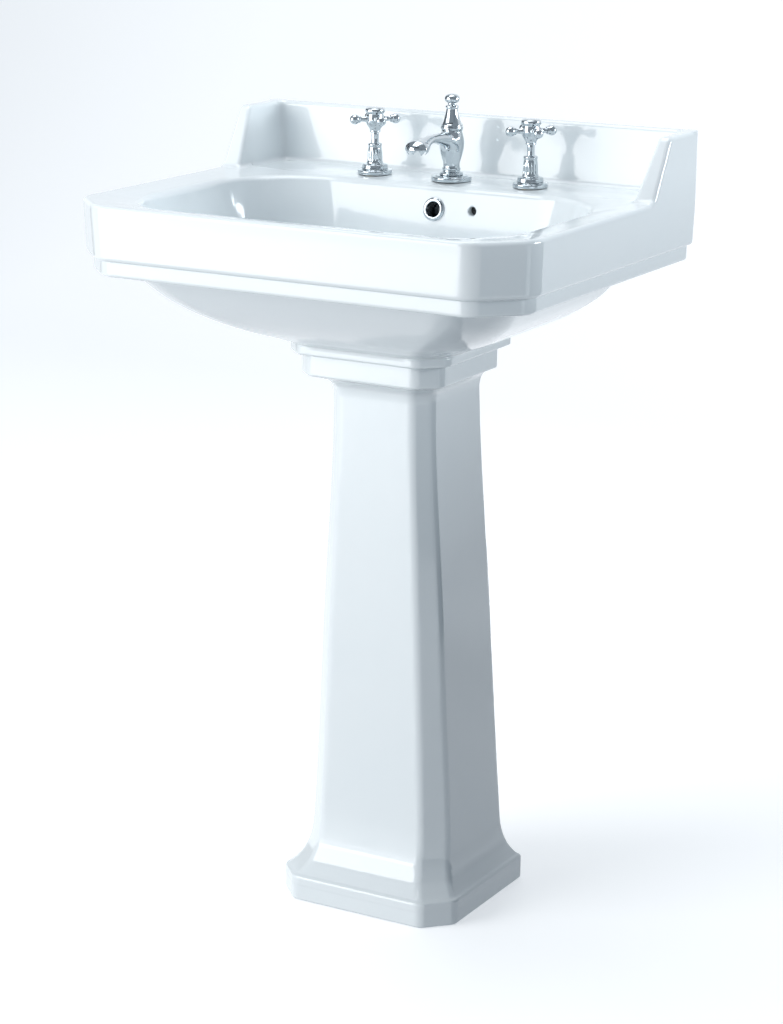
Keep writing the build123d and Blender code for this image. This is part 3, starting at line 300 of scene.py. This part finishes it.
def basin_field(p):
    """The whole basin casting: negative inside the clay."""
    x, y, z = p
    ax = np.abs(x)
    draft = np.clip((820.0 - z) / 47.0, 0.0, 1.2) * 2.0
    envelope = plan(x, y, HALF_W - draft, FRONT + draft, WALL, 50.0, 10.0)
    apron = rounded([envelope, z - RIM_Z, APRON_Z - z], 5.0)
    tier = rounded([plan(x, y, HALF_W - 9, FRONT + 9, WALL, 46.0, 9.0), z - APRON_Z - 8, TIER_Z - z], 4.0)
    w, f, b, cut = easing(BOWL_OUTSIDE, z)
    lean = np.clip((z - 657.0) / 100.0, 0.0, 1.0)
    under = plan(x, y, w, f, b, cut, 16.0) * (0.45 + 0.5 * lean)
    under = rounded([under, z - 775.0, 664.0 - z], 2.0)
    foot = rounded([plan(x, y, 102.0, -57.0, 121.0, 27.0, 5.0), z - PLINTH_Z, PEDESTAL_H - z], 2.5)
    duct = rounded([ax - 37.0, 110.0 - y, y - 140.0, z - 776.0, PEDESTAL_H + 3 - z], 3.0)
    body = joined(apron, tier, 1.0)
    body = joined(body, under, 4.0)
    body = joined(body, duct, 3.0)
    body = joined(body, foot, 2.0)
    rise = (z - RIM_Z) / (UPSTAND_Z - RIM_Z)
    returns = rounded([ax - HALF_W, 255.0 + 10.0 * rise - ax, (105.0 + 40.0 * rise - y) * 0.862,
                       y - WALL, z - UPSTAND_Z, 800.0 - z], 5.0)
    panel = rounded([ax - HALF_W, 205.0 + 7.0 * rise - y, y - WALL, z - UPSTAND_Z, 800.0 - z], 5.0)
    upstand = joined(returns, panel, 9.0)
    # dished deck and bowl
    w, f, b, cut, cx, cy = easing(BOWL_INSIDE, z)
    slope = np.interp(z, [688.0, 700.0, 715.0, 740.0, 770.0], [0.2, 0.34, 0.62, 0.88, 1.0])
    bowl = plan(x, y, w, f, b, cut, 26.0, (cx, cy)) * slope
    bowl = rounded([bowl, 688.0 - z], 6.0)
    up = (z - 829.0) / 5.6
    dish = plan(x, y, 233.0 + 38.0 * up, -187.0 - 26.0 * up, 124.0 + 44.0 * up, 48.0 - 2.0 * up, 16.0,
                (64.0, 62.0)) * 0.16
    ledge = rounded([ax - 262.0, 130.0 - y, y - 218.0, DECK_Z - z], 2.0)
    hollow = joined(joined(bowl, dish, 7.0), ledge, 2.0)
    body = carved(body, hollow, 3.0)
    body = joined(body, np.maximum(upstand, envelope), 7.0)
    body = np.maximum(body, envelope)
    body = rounded([body, z - UPSTAND_Z], 0.5)
    # open recess under the tap ledge, and the flat seat inside the pedestal
    recess = rounded([ax - 236.0, RECESS_FRONT - y, y - RECESS_BACK, z - RECESS_TOP], 8.0)
    seat = rounded([ax - 75.0, -24.0 - y, y - 92.0, z - 660.0], 4.0)
    body = carved(body, recess, 2.0)
    body = carved(body, seat, 1.5)
    for hole_x in (-TAP_X, 0.0, TAP_X):
        body = carved(body, np.maximum(np.hypot(x - hole_x, y - TAP_Y) - TAP_HOLE_R, 800.0 - z), 1.0)
    down_waste = np.hypot(x, y - WASTE_Y)
    body = carved(body, down_waste - WASTE_HOLE_R, 1.0)
    body = carved(body, rounded([down_waste - WASTE_SEAT_R, 684.0 - z, z - 720.0], 1.0), 1.5)
    # overflow and chain-stay holes
    cos_l, sin_l = math.cos(WALL_LEAN), math.sin(WALL_LEAN)
    up_wall = (y - OVERFLOW_Y) * sin_l + (z - OVERFLOW_Z) * cos_l
    into = (y - OVERFLOW_Y) * cos_l - (z - OVERFLOW_Z) * sin_l
    body = carved(body, np.maximum(np.hypot(x, up_wall) - OVERFLOW_HOLE_R, np.abs(into) - 13.0), 0.8)
    chain = np.hypot(x - CHAIN_X, z - CHAIN_Z) - CHAIN_HOLE_R
    body = carved(body, np.maximum(chain, np.abs(y - 130.0) - 18.0), 1.0)
    for side in (-1, 1):
        fixing = np.hypot(x - side * FIXING_X, z - FIXING_Z) - FIXING_HOLE_R
        body = carved(body, np.maximum(fixing, 195.0 - y), 0.8)
    return body


FOOT_COVE = [
    (30.0, 113.0, -50.0, 144.5, 29.5),
    (36.0, 107.0, -43.5, 141.5, 28.5),
    (48.0, 99.0, -33.0, 138.0, 27.0),
    (70.0, 93.0, -23.5, 134.8, 25.5),
    (105.0, 91.0, -19.0, 132.9, 24.6),
    (355.0, 78.2, -16.5, 124.3, 21.5),
    (605.0, 65.4, -14.0, 115.8, 18.3),
    (615.0, 67.0, -16.0, 115.2, 18.6),
    (624.0, 73.5, -24.0, 113.0, 19.8),
    (631.0, 85.0, -39.0, 111.0, 22.0),
    (640.0, 88.0, -43.0, 110.0, 22.6),
]
PEDESTAL_INSIDE = [
    (-1.0, 101.75, -38.0, 27.0),
    (34.0, 96.0, -33.0, 26.0),
    (70.0, 82.0, -12.5, 22.5),
    (600.0, 54.6, -3.0, 15.0),
    (658.0, 75.0, -30.0, 19.0),
]


def pedestal_field(p):
    """The pedestal casting, hollow and open at the back."""
    x, y, z = p
    w, f, b, cut = easing(FOOT_COVE, z)
    steep = np.interp(z, [30.0, 36.0, 48.0, 70.0, 605.0, 615.0, 624.0, 631.0],
                      [0.55, 0.7, 0.85, 0.97, 1.0, 0.9, 0.7, 0.55])
    shaft = plan(x, y, w, f, b, cut, 4.0) * steep
    shaft = rounded([shaft, z - 645.0, 20.0 - z], 1.0)
    base = rounded([plan(x, y, 115.75, -52.0, 146.0, 30.5, 4.5), z - 30.0, -z], 3.0)
    head = rounded([plan(x, y, 91.0, -46.0, 110.0, 23.0, 5.0), z - PEDESTAL_H, 631.0 - z], 3.0)
    body = joined(joined(shaft, base, 2.5), head, 1.5)
    iw, f_in, icut = easing(PEDESTAL_INSIDE, z)
    hollow = plan(x, y, iw, f_in, 200.0, icut, 6.0) * 0.95
    body = carved(body, hollow, 2.5)
    for side in (-1, 1):
        lug = rounded([np.abs(x - side * LUG_X) - 12.0, np.abs(y - LUG_Y) - 11.0, z - 12.0, -z], 2.0)
        lug = carved(lug, np.hypot(x - side * LUG_HOLE_X, y - LUG_Y) - LUG_HOLE_R, 0.5)
        body = joined(body, lug, 2.0)
    return body


# (y, half width, half height, middle height) of the spout arm
ARM = [
    (66.0, 8.5, 4.5, 875.0), (68.5, 11.0, 6.8, 876.0), (76.0, 12.8, 7.8, 877.4), (86.0, 11.4, 7.0, 879.6),
    (98.0, 8.2, 5.0, 882.6), (111.0, 6.8, 4.6, 884.0), (132.0, 8.0, 7.0, 882.0), (146.0, 9.4, 8.6, 879.5),
    (163.0, 9.5, 9.0, 876.0),
]
MOUTH = (77.5, 871.8)
PILLAR = [
    (838.2, 13.2), (839.6, 13.7), (841.0, 13.0), (842.4, 10.3), (843.6, 9.9), (844.8, 10.6), (846.2, 10.6),
    (847.4, 9.5), (850.0, 9.3), (855.0, 10.4), (861.0, 12.2), (868.0, 13.7), (875.0, 14.2), (881.0, 13.6),
    (886.0, 12.3), (888.0, 11.7), (889.4, 12.1), (890.0, 12.2),
]


def spout_field(p):
    """Spout pillar and arm in one casting, with a wavy lip at its mouth."""
    x, y, z = p
    (r,) = easing(PILLAR, z)
    pillar = np.hypot(x, y - TAP_Y) - r
    pillar = np.maximum(np.maximum(pillar, z - 890.0), 838.2 - z)
    w, h, mid = easing(ARM, y)
    drop = z - mid
    arm = (np.sqrt((x / w) ** 2 + (drop / h) ** 2) - 1.0) * h
    nose = np.sqrt((x / 12.6) ** 2 + ((y - 78.0) / 11.5) ** 2 + ((z - 876.5) / 9.2) ** 2) - 1.0
    arm = rounded([arm, 74.0 - y, y - 162.0], 1.0)
    arm = joined(arm, nose * 9.2, 3.0)
    body = joined(pillar, arm, 6.0)
    # hollow head, cut open underneath along a scalloped lip
    mouth_y, mouth_z = MOUTH
    round_mouth = np.arctan2(x, y - mouth_y)
    lip = z - mouth_z - LIP_DEPTH * np.abs(np.sin(3.0 * round_mouth)) + LIP_RISE
    lip = lip + 0.6 * np.maximum(y - 88.0, 0.0)
    body = carved(body, np.maximum(lip, y - 98.0), 0.4)
    throat = np.sqrt((x / 10.7) ** 2 + ((y - 78.0) / 9.6) ** 2 + ((z - 875.0) / 8.4) ** 2) - 1.0
    body = carved(body, throat * 8.0, 0.4)
    return body


# ---------------------------------------------------------------- from field to mesh
def ruled_lines(low, high, step, *fine):
    """Grid lines from low to high, closer together in each (from, to, step) stretch."""
    lines = [low]
    while lines[-1] < high:
        here = lines[-1]
        pace = step
        for start, end, closer in fine:
            if start - 1e-6 <= here < end:
                pace = min(pace, closer)
            elif here < start < here + pace:
                pace = min(pace, start - here)
        lines.append(here + max(pace, 0.2))
    return np.array(lines)


def slopes(field, p, eps=0.02):
    """Gradient of a field at points."""
    parts = []
    for axis in range(3):
        ahead, behind = [c.copy() for c in p], [c.copy() for c in p]
        ahead[axis] += eps
        behind[axis] -= eps
        parts.append((field(ahead) - field(behind)) / (2 * eps))
    return parts


def skin(field, xs, ys, zs):
    """Quads over the zero surface of a field on ruled lines, settled onto it, with its normals."""
    gx, gy, gz = np.meshgrid(xs, ys, zs, indexing="ij")
    value = field([gx, gy, gz])
    inside = value < 0
    total = np.zeros([n - 1 for n in value.shape] + [3])
    count = np.zeros([n - 1 for n in value.shape])
    grid = [gx, gy, gz]
    quads = []
    crossings = []
    for axis in range(3):
        lo = [slice(None)] * 3
        hi = [slice(None)] * 3
        lo[axis], hi[axis] = slice(None, -1), slice(1, None)
        lo, hi = tuple(lo), tuple(hi)
        change = inside[lo] != inside[hi]
        idx = np.argwhere(change)
        va, vb = value[lo][change], value[hi][change]
        t = va / (va - vb)
        point = np.stack([g[lo][change] * (1 - t) + g[hi][change] * t for g in grid], axis=1)
        others = [a for a in range(3) if a != axis]
        cells = []
        for da in (0, 1):
            for db in (0, 1):
                cell = idx.copy()
                cell[:, others[0]] -= da
                cell[:, others[1]] -= db
                cells.append(cell)
        crossings.append((axis, cells, inside[lo][change]))
        for cell in cells:
            ok = np.all((cell >= 0) & (cell < np.array(count.shape)), axis=1)
            where = tuple(cell[ok].T)
            np.add.at(count, where, 1)
            for c in range(3):
                np.add.at(total[..., c], where, point[ok, c])
    used = count > 0
    number = np.full(count.shape, -1)
    number[used] = np.arange(used.sum())
    points = total[used] / count[used][:, None]
    for axis, cells, starts_inside in crossings:
        corner = []
        ok = np.ones(len(starts_inside), bool)
        for cell in cells:
            ok &= np.all((cell >= 0) & (cell < np.array(count.shape)), axis=1)
        for cell in cells:
            corner.append(number[tuple(cell[ok].T)])
        a, b, c, d = corner[0], corner[1], corner[3], corner[2]
        loop = np.stack([a, b, c, d], axis=1)
        flip = starts_inside[ok] if axis != 1 else ~starts_inside[ok]
        loop[flip] = loop[flip][:, ::-1]
        quads.append(loop)
    quads = np.concatenate(quads)
    start = points.copy()
    reach = np.array([np.diff(xs).mean(), np.diff(ys).mean(), np.diff(zs).mean()])
    for _ in range(4):
        p = [points[:, i].copy() for i in range(3)]
        here = field(p)
        g = np.stack(slopes(field, p), axis=1)
        size = np.maximum((g * g).sum(axis=1), 0.02)
        points = points - np.clip((here / size)[:, None] * g, -2.0, 2.0)
        points = np.clip(points, start - 1.2 * reach, start + 1.2 * reach)
    g = np.stack(slopes(field, [points[:, i].copy() for i in range(3)]), axis=1)
    normals = g / np.maximum(np.linalg.norm(g, axis=1), 1e-9)[:, None]
    faced = np.cross(points[quads[:, 2]] - points[quads[:, 0]], points[quads[:, 3]] - points[quads[:, 1]])
    wrong = (faced * normals[quads].sum(axis=1)).sum(axis=1) < 0
    quads[wrong] = quads[wrong][:, ::-1]
    return points, quads, normals


def piece(name, points, faces, node=None, normals=None, also=()):
    """A finished mesh piece in metres that stands for a CAD node and rides on its body."""
    mesh = bpy.data.meshes.new(name)
    if isinstance(faces, np.ndarray):
        mesh.vertices.add(len(points))
        mesh.vertices.foreach_set("co", (np.asarray(points) * MM).astype(np.float32).ravel())
        mesh.loops.add(faces.size)
        mesh.loops.foreach_set("vertex_index", faces.astype(np.int32).ravel())
        mesh.polygons.add(len(faces))
        mesh.polygons.foreach_set("loop_start", np.arange(0, faces.size, faces.shape[1], dtype=np.int32))
    else:
        mesh.from_pydata([tuple(c * MM for c in p) for p in points], [], faces)
    mesh.update(calc_edges=True)
    mesh.validate()
    mesh.polygons.foreach_set("use_smooth", np.ones(len(mesh.polygons), bool))
    if normals is not None:
        mesh.normals_split_custom_set_from_vertices([tuple(n) for n in normals])
    obj = bpy.data.objects.new(name, mesh)
    bpy.context.scene.collection.objects.link(obj)
    node = node or name
    mesh.materials.append(FINISH_OF[SLOT_OF[node]])
    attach(obj, BODY_OF[node])
    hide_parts(node, *also)
    return obj


# ---------------------------------------------------------------- turned pieces (mm)
def softened(profile, radius):
    """A turned profile with each corner rounded by up to radius."""
    soft = [profile[0]]
    for before, here, after in zip(profile, profile[1:], profile[2:]):
        a, b, c = Vector(before), Vector(here), Vector(after)
        back = min(radius, (a - b).length * 0.45)
        ahead = min(radius, (c - b).length * 0.45)
        start, end = b + (a - b).normalized() * back, b + (c - b).normalized() * ahead
        for step in range(4):
            t = step / 3
            soft.append(tuple(start * (1 - t) ** 2 + b * 2 * t * (1 - t) + end * t * t))
    soft.append(profile[-1])
    return soft


def turned(profile, turns, ripple=None):
    """Points and faces of a profile of (radius, height) turned about Z."""
    points, faces = [], []
    for r, z in profile:
        for i in range(turns):
            angle = 2 * math.pi * i / turns
            out = r + (ripple(angle, z) if ripple else 0.0)
            points.append((out * math.cos(angle), out * math.sin(angle), z))
    for row in range(len(profile) - 1):
        for i in range(turns):
            j = (i + 1) % turns
            a, b = row * turns, (row + 1) * turns
            faces.append((a + i, a + j, b + j, b + i))
    for row, flip in ((0, True), (len(profile) - 1, False)):
        ring = [row * turns + i for i in range(turns)]
        faces.append(tuple(reversed(ring)) if flip else tuple(ring))
    return points, faces


def placed(shape, move):
    """A shape's points moved by a function."""
    points, faces = shape
    return [move(p) for p in points], faces


def together(*shapes):
    """Several shapes as one list of points and faces."""
    points, faces = [], []
    for more, loops in shapes:
        base = len(points)
        points += more
        faces += [tuple(base + i for i in loop) for loop in loops]
    return points, faces


def at(x, y):
    """A move to a plan position."""
    return lambda p: (p[0] + x, p[1] + y, p[2])


def outward(c, s):
    """A move that lays a turned piece level, pointing away from the hub."""
    return lambda p: (p[2] * c - p[0] * s, p[2] * s + p[0] * c, HANDLE_Z + p[1])


def sharpen(obj):
    """Keeps real corners crisp on a smooth-shaded piece."""
    obj.data.set_sharp_from_angle(angle=CRISP_ANGLE)


FLANGE = [(12.8, 832.05), (19.6, 832.05), (20.0, 832.6), (20.0, 836.0), (19.3, 836.9), (15.9, 837.2),
          (15.5, 837.7), (15.2, 838.2), (12.8, 838.2)]
BONNET = [(12.8, 838.3), (15.3, 838.3), (15.4, 839.4), (14.9, 840.2), (14.8, 842.4), (14.0, 843.4),
          (10.2, 844.0), (9.4, 844.8), (9.4, 846.0), (8.7, 846.9), (8.6, 851.0), (8.4, 857.0), (8.0, 860.5),
          (7.5, 862.8), (7.5, 864.2), (8.2, 865.0), (8.2, 866.6), (7.2, 867.5), (5.6, 868.0), (4.5, 868.0)]
STEM = [(4.4, 858.0), (4.4, 868.5), (4.2, 873.0), (4.3, 878.0), (4.0, 880.5)]
HUB = [(4.1, 880.0), (5.6, 880.0), (6.4, 881.1), (5.9, 882.4), (6.6, 884.2), (8.6, 887.0), (10.2, 890.0),
       (10.7, 894.5), (10.4, 898.5), (9.6, 901.6), (10.2, 902.8), (11.4, 903.5), (11.6, 905.2),
       (11.5, 906.9), (10.6, 908.1), (9.2, 908.2), (8.7, 907.5), (8.7, 907.0)]
INDEX = [(0.2, 907.2), (8.5, 907.2), (8.5, 908.2), (7.0, 908.8), (4.0, 909.15), (0.3, 909.3)]
ARM_PROFILE = [(0.5, 6.0), (4.2, 6.0), (4.2, 10.8), (3.3, 12.2), (2.8, 14.0), (2.7, 16.4), (2.9, 17.8),
               (4.2, 18.4), (4.4, 19.4), (4.3, 20.4), (5.0, 21.2), (5.6, 22.8), (5.8, 24.6), (5.4, 26.8),
               (4.3, 28.6), (2.6, 29.8), (1.0, 30.3), (0.2, 30.4)]
CAP = [(3.0, 890.1), (12.2, 890.1), (12.9, 891.2), (12.9, 893.4), (12.1, 894.7), (12.1, 896.0),
       (10.9, 897.3), (10.2, 898.8), (9.2, 902.0), (8.1, 906.2), (7.1, 910.6), (6.6, 914.2),
       (7.0, 915.0), (7.7, 915.7), (7.7, 917.0), (6.8, 917.9), (3.0, 918.0)]
KNOB = [(2.6, 918.4), (4.5, 918.4), (5.4, 919.3), (5.0, 920.3), (5.4, 920.9), (7.2, 921.8), (8.4, 923.2),
        (8.85, 925.2), (8.5, 927.2), (7.3, 929.0), (5.2, 930.2), (2.6, 930.85), (0.3, 931.0)]
OVERFLOW_RING = [(8.75, -7.5), (10.2, -7.5), (10.2, 0.45), (13.4, 0.45), (13.5, 1.2), (13.0, 2.1),
                 (11.6, 2.9), (9.8, 3.1), (8.75, 2.6), (8.75, -7.4)]


def petals(angle, z):
    """Flutes cut round the bonnet's bell, leaving petals between them."""
    if not PETAL_LOW < z < PETAL_HIGH:
        return 0.0
    rise = min(1.0, (z - PETAL_LOW) / 1.6, (PETAL_HIGH - z) / 3.0)
    return -PETAL_DEPTH * rise * (1 - abs(math.cos(5 * angle)) ** 0.6)


def valve(side, x):
    """Every visible turned piece of one valve."""
    for part, profile, soft, ripple in (("flange", FLANGE, 0.7, None), ("bonnet", BONNET, 0.8, petals),
                                        ("stem", STEM, 0.5, None), ("index_disc", INDEX, 0.5, None)):
        shape = turned(softened(profile, soft), 120 if ripple else 72, ripple)
        sharpen(piece(f"{side}_{part}_skin", *placed(shape, at(x, TAP_Y)), node=f"{side}_{part}"))
    shapes = [turned(softened(HUB, 0.9), 72)]
    arm = turned(softened(ARM_PROFILE, 0.5), 40)
    for turn in range(HANDLE_ARMS):
        angle = math.radians(HANDLE_ANGLE + 90.0 * turn)
        shapes.append(placed(arm, outward(math.cos(angle), math.sin(angle))))
    sharpen(piece(f"{side}_handle_skin", *placed(together(*shapes), at(x, TAP_Y)), node=f"{side}_handle"))


# ---------------------------------------------------------------- the pieces
def make_pieces():
    """Basin, pedestal and spout from their fields, then every turned piece."""
    points, quads, normals = skin(
        basin_field,
        ruled_lines(-283.0, 283.0, 4.5, (-283, -264, 1.6), (-247, -220, 2.5), (-14, 14, 1.2), (42, 56, 1.0),
                    (220, 247, 2.5), (264, 283, 1.6)),
        ruled_lines(-228.0, 228.0, 4.5, (-228, -208, 1.6), (-195, -180, 2.5), (104, 150, 1.6),
                    (196, 228, 1.6)),
        ruled_lines(655.0, 905.0, 4.0, (655, 672, 1.2), (682, 690, 1.2), (750, 778, 1.0), (790, 817, 1.4),
                    (827.0, 836.0, 1.0), (893, 905, 1.2)),
    )
    piece("basin_glazed", points, quads, "basin", normals)
    points, quads, normals = skin(
        pedestal_field,
        ruled_lines(-118.0, 118.0, 4.0, (-118, -104, 1.6), (-94, -82, 2.0), (82, 94, 2.0), (104, 118, 1.6)),
        ruled_lines(-54.0, 148.0, 4.0, (-54, -36, 1.6), (104, 114, 1.6), (140, 148, 1.6)),
        ruled_lines(-2.0, 659.0, 9.0, (-2, 50, 1.4), (50, 80, 3.0), (595, 659, 1.4)),
    )
    points[:, 2] = np.maximum(points[:, 2], 0.0)
    piece("pedestal_glazed", points, quads, "pedestal", normals)
    points, quads, normals = skin(
        spout_field,
        ruled_lines(-16.0, 16.0, 0.8),
        ruled_lines(56.0, 176.0, 0.9),
        ruled_lines(836.0, 892.0, 0.8),
    )
    piece("spout_cast", points, quads, "spout", normals)
    valve("hot", -TAP_X)
    valve("cold", TAP_X)
    centre = at(0.0, TAP_Y)
    rounds = (
        ("spout_flange", [(r + 3.3 if r > 13 else 10.8, z) for r, z in FLANGE], 0.7),
        ("spout_cap", CAP, 0.9),
        ("lift_knob", KNOB, 0.7),
    )
    for node, profile, soft in rounds:
        sharpen(piece(f"{node}_skin", *placed(turned(softened(profile, soft), 72), centre), node=node))
    ring = turned(softened(OVERFLOW_RING, 0.5), 64)
    cos_l, sin_l = math.cos(WALL_LEAN), math.sin(WALL_LEAN)

    def onto_wall(p):
        return (p[0], OVERFLOW_Y + p[1] * sin_l - p[2] * cos_l, OVERFLOW_Z + p[1] * cos_l + p[2] * sin_l)

    points, faces = placed(ring, onto_wall)
    sharpen(piece("overflow_ring_skin", points, faces[:-2], node="overflow_ring"))


for node, obj in frame["nodes"].items():
    obj.data.materials.clear()
    obj.data.materials.append(FINISH_OF[SLOT_OF[node]])
make_pieces()


# ---------------------------------------------------------------- floor, light and camera
def stage_material(name, colour, rough, glow=0.0):
    fin = Finish(name)
    cloud = fin.noise(fin.at(), 3.0, 2.0)
    fin.set(Base_Color=fin.mix(cloud, colour, tuple(0.99 * c for c in colour[:3]) + (1,)), Roughness=rough)
    fin.set(Emission_Color=(0.97, 0.985, 1.0, 1), Emission_Strength=glow)
    return fin.mat


def sweep():
    """A pale floor that curves up into a backdrop."""
    profile = [(-6.0, 0.0), (2.4, 0.0)]
    for step in range(1, 13):
        angle = step / 12 * math.pi / 2
        profile.append((2.4 + 1.4 * math.sin(angle), 1.4 - 1.4 * math.cos(angle)))
    profile.append((3.8, 6.0))
    points = [(x, y, z - 0.0005) for y, z in profile for x in (-7.0, 7.0)]
    faces = [(2 * i, 2 * i + 1, 2 * i + 3, 2 * i + 2) for i in range(len(profile) - 1)]
    mesh = bpy.data.meshes.new("floor_sweep")
    mesh.from_pydata(points, [], faces)
    mesh.polygons.foreach_set("use_smooth", [True] * len(mesh.polygons))
    obj = bpy.data.objects.new("floor_sweep", mesh)
    bpy.context.scene.collection.objects.link(obj)
    mesh.materials.append(stage_material("pale_floor", (0.93, 0.94, 0.95, 1), 0.6, 0.44))
    obj.visible_diffuse = False


def area(name, place, target, size, power, colour):
    """A soft rectangular light aimed at a point."""
    light = bpy.data.lights.new(name, "AREA")
    light.shape, light.size, light.size_y = "RECTANGLE", size[0], size[1]
    light.energy, light.color = power, colour
    obj = bpy.data.objects.new(name, light)
    obj.location = place
    obj.rotation_euler = (Vector(target) - Vector(place)).to_track_quat("-Z", "Y").to_euler()
    bpy.context.scene.collection.objects.link(obj)


def card(name, place, target, size, colour):
    """A flat board out of view that the bright metal and glaze reflect."""
    mesh = bpy.data.meshes.new(name)
    w, h = size[0] / 2, size[1] / 2
    mesh.from_pydata([(-w, -h, 0), (w, -h, 0), (w, h, 0), (-w, h, 0)], [], [(0, 1, 2, 3)])
    obj = bpy.data.objects.new(name, mesh)
    obj.location = place
    obj.rotation_euler = (Vector(target) - Vector(place)).to_track_quat("-Z", "Y").to_euler()
    bpy.context.scene.collection.objects.link(obj)
    mesh.materials.append(stage_material(name, colour, 0.8))


def studio():
    """Floor, four soft lights and the dark boards."""
    sweep()
    area("key_soft", (-2.3, -2.8, 1.7), (0, 0, 0.6), (2.6, 2.2), 77, (1.0, 0.995, 0.985))
    area("low_soft", (-1.6, -2.5, 0.1), (0, 0, 0.75), (3.2, 1.5), 43, (0.97, 0.99, 1.0))
    area("top_soft", (-0.4, 0.1, 3.2), (0, 0, 0.7), (2.2, 1.6), 34, (0.96, 0.98, 1.0))
    area("side_soft", (2.9, 1.2, 1.35), (0.2, 0, 0.85), (1.4, 0.6), 52, (0.90, 0.96, 1.0))
    card("dark_board", (1.9, -0.9, 0.9), (0, 0, 0.6), (1.1, 2.4), (0.3, 0.33, 0.36, 1))
    card("dark_ceiling", (0.8, -2.6, 3.4), (0, 0, 0.8), (2.6, 1.0), (0.03, 0.035, 0.04, 1))
    card("dark_left", (-2.9, 0.6, 1.2), (0, 0, 0.8), (1.2, 2.6), (0.03, 0.035, 0.04, 1))
    card("dark_screen", (1.25, 0.53, 0.46), (0, 0, 0.46), (1.3, 0.94), (0.03, 0.035, 0.04, 1))
    world = bpy.data.worlds.new("studio_air")
    bpy.context.scene.world = world
    world.use_nodes = True
    sky = world.node_tree.nodes["Background"]
    sky.inputs["Color"].default_value = (0.80, 0.90, 1.0, 1)
    sky.inputs["Strength"].default_value = 0.38
    scene = bpy.context.scene
    scene.view_settings.view_transform = "Standard"
    scene.view_settings.look = "None"


def camera():
    """The main view, from the front right and a little above."""
    az, el, distance = math.radians(29.69), math.radians(15.11), 3.1336
    target = Vector((-0.0012, 0.0279, 0.4665))
    back = Vector((math.sin(az) * math.cos(el), -math.cos(az) * math.cos(el), math.sin(el)))
    lens = bpy.data.cameras.new("view_lens")
    lens.sensor_width, lens.lens = SENSOR, FOCAL * SENSOR / VIEW_HEIGHT
    obj = bpy.data.objects.new("view", lens)
    obj.location = target + back * distance
    aim = (-back).to_track_quat("-Z", "Y")
    roll = math.radians(0.42)
    obj.rotation_mode = "QUATERNION"
    obj.rotation_quaternion = aim @ Quaternion((0, 0, 1), roll)
    bpy.context.scene.collection.objects.link(obj)
    bpy.context.scene.camera = obj


studio()
camera()
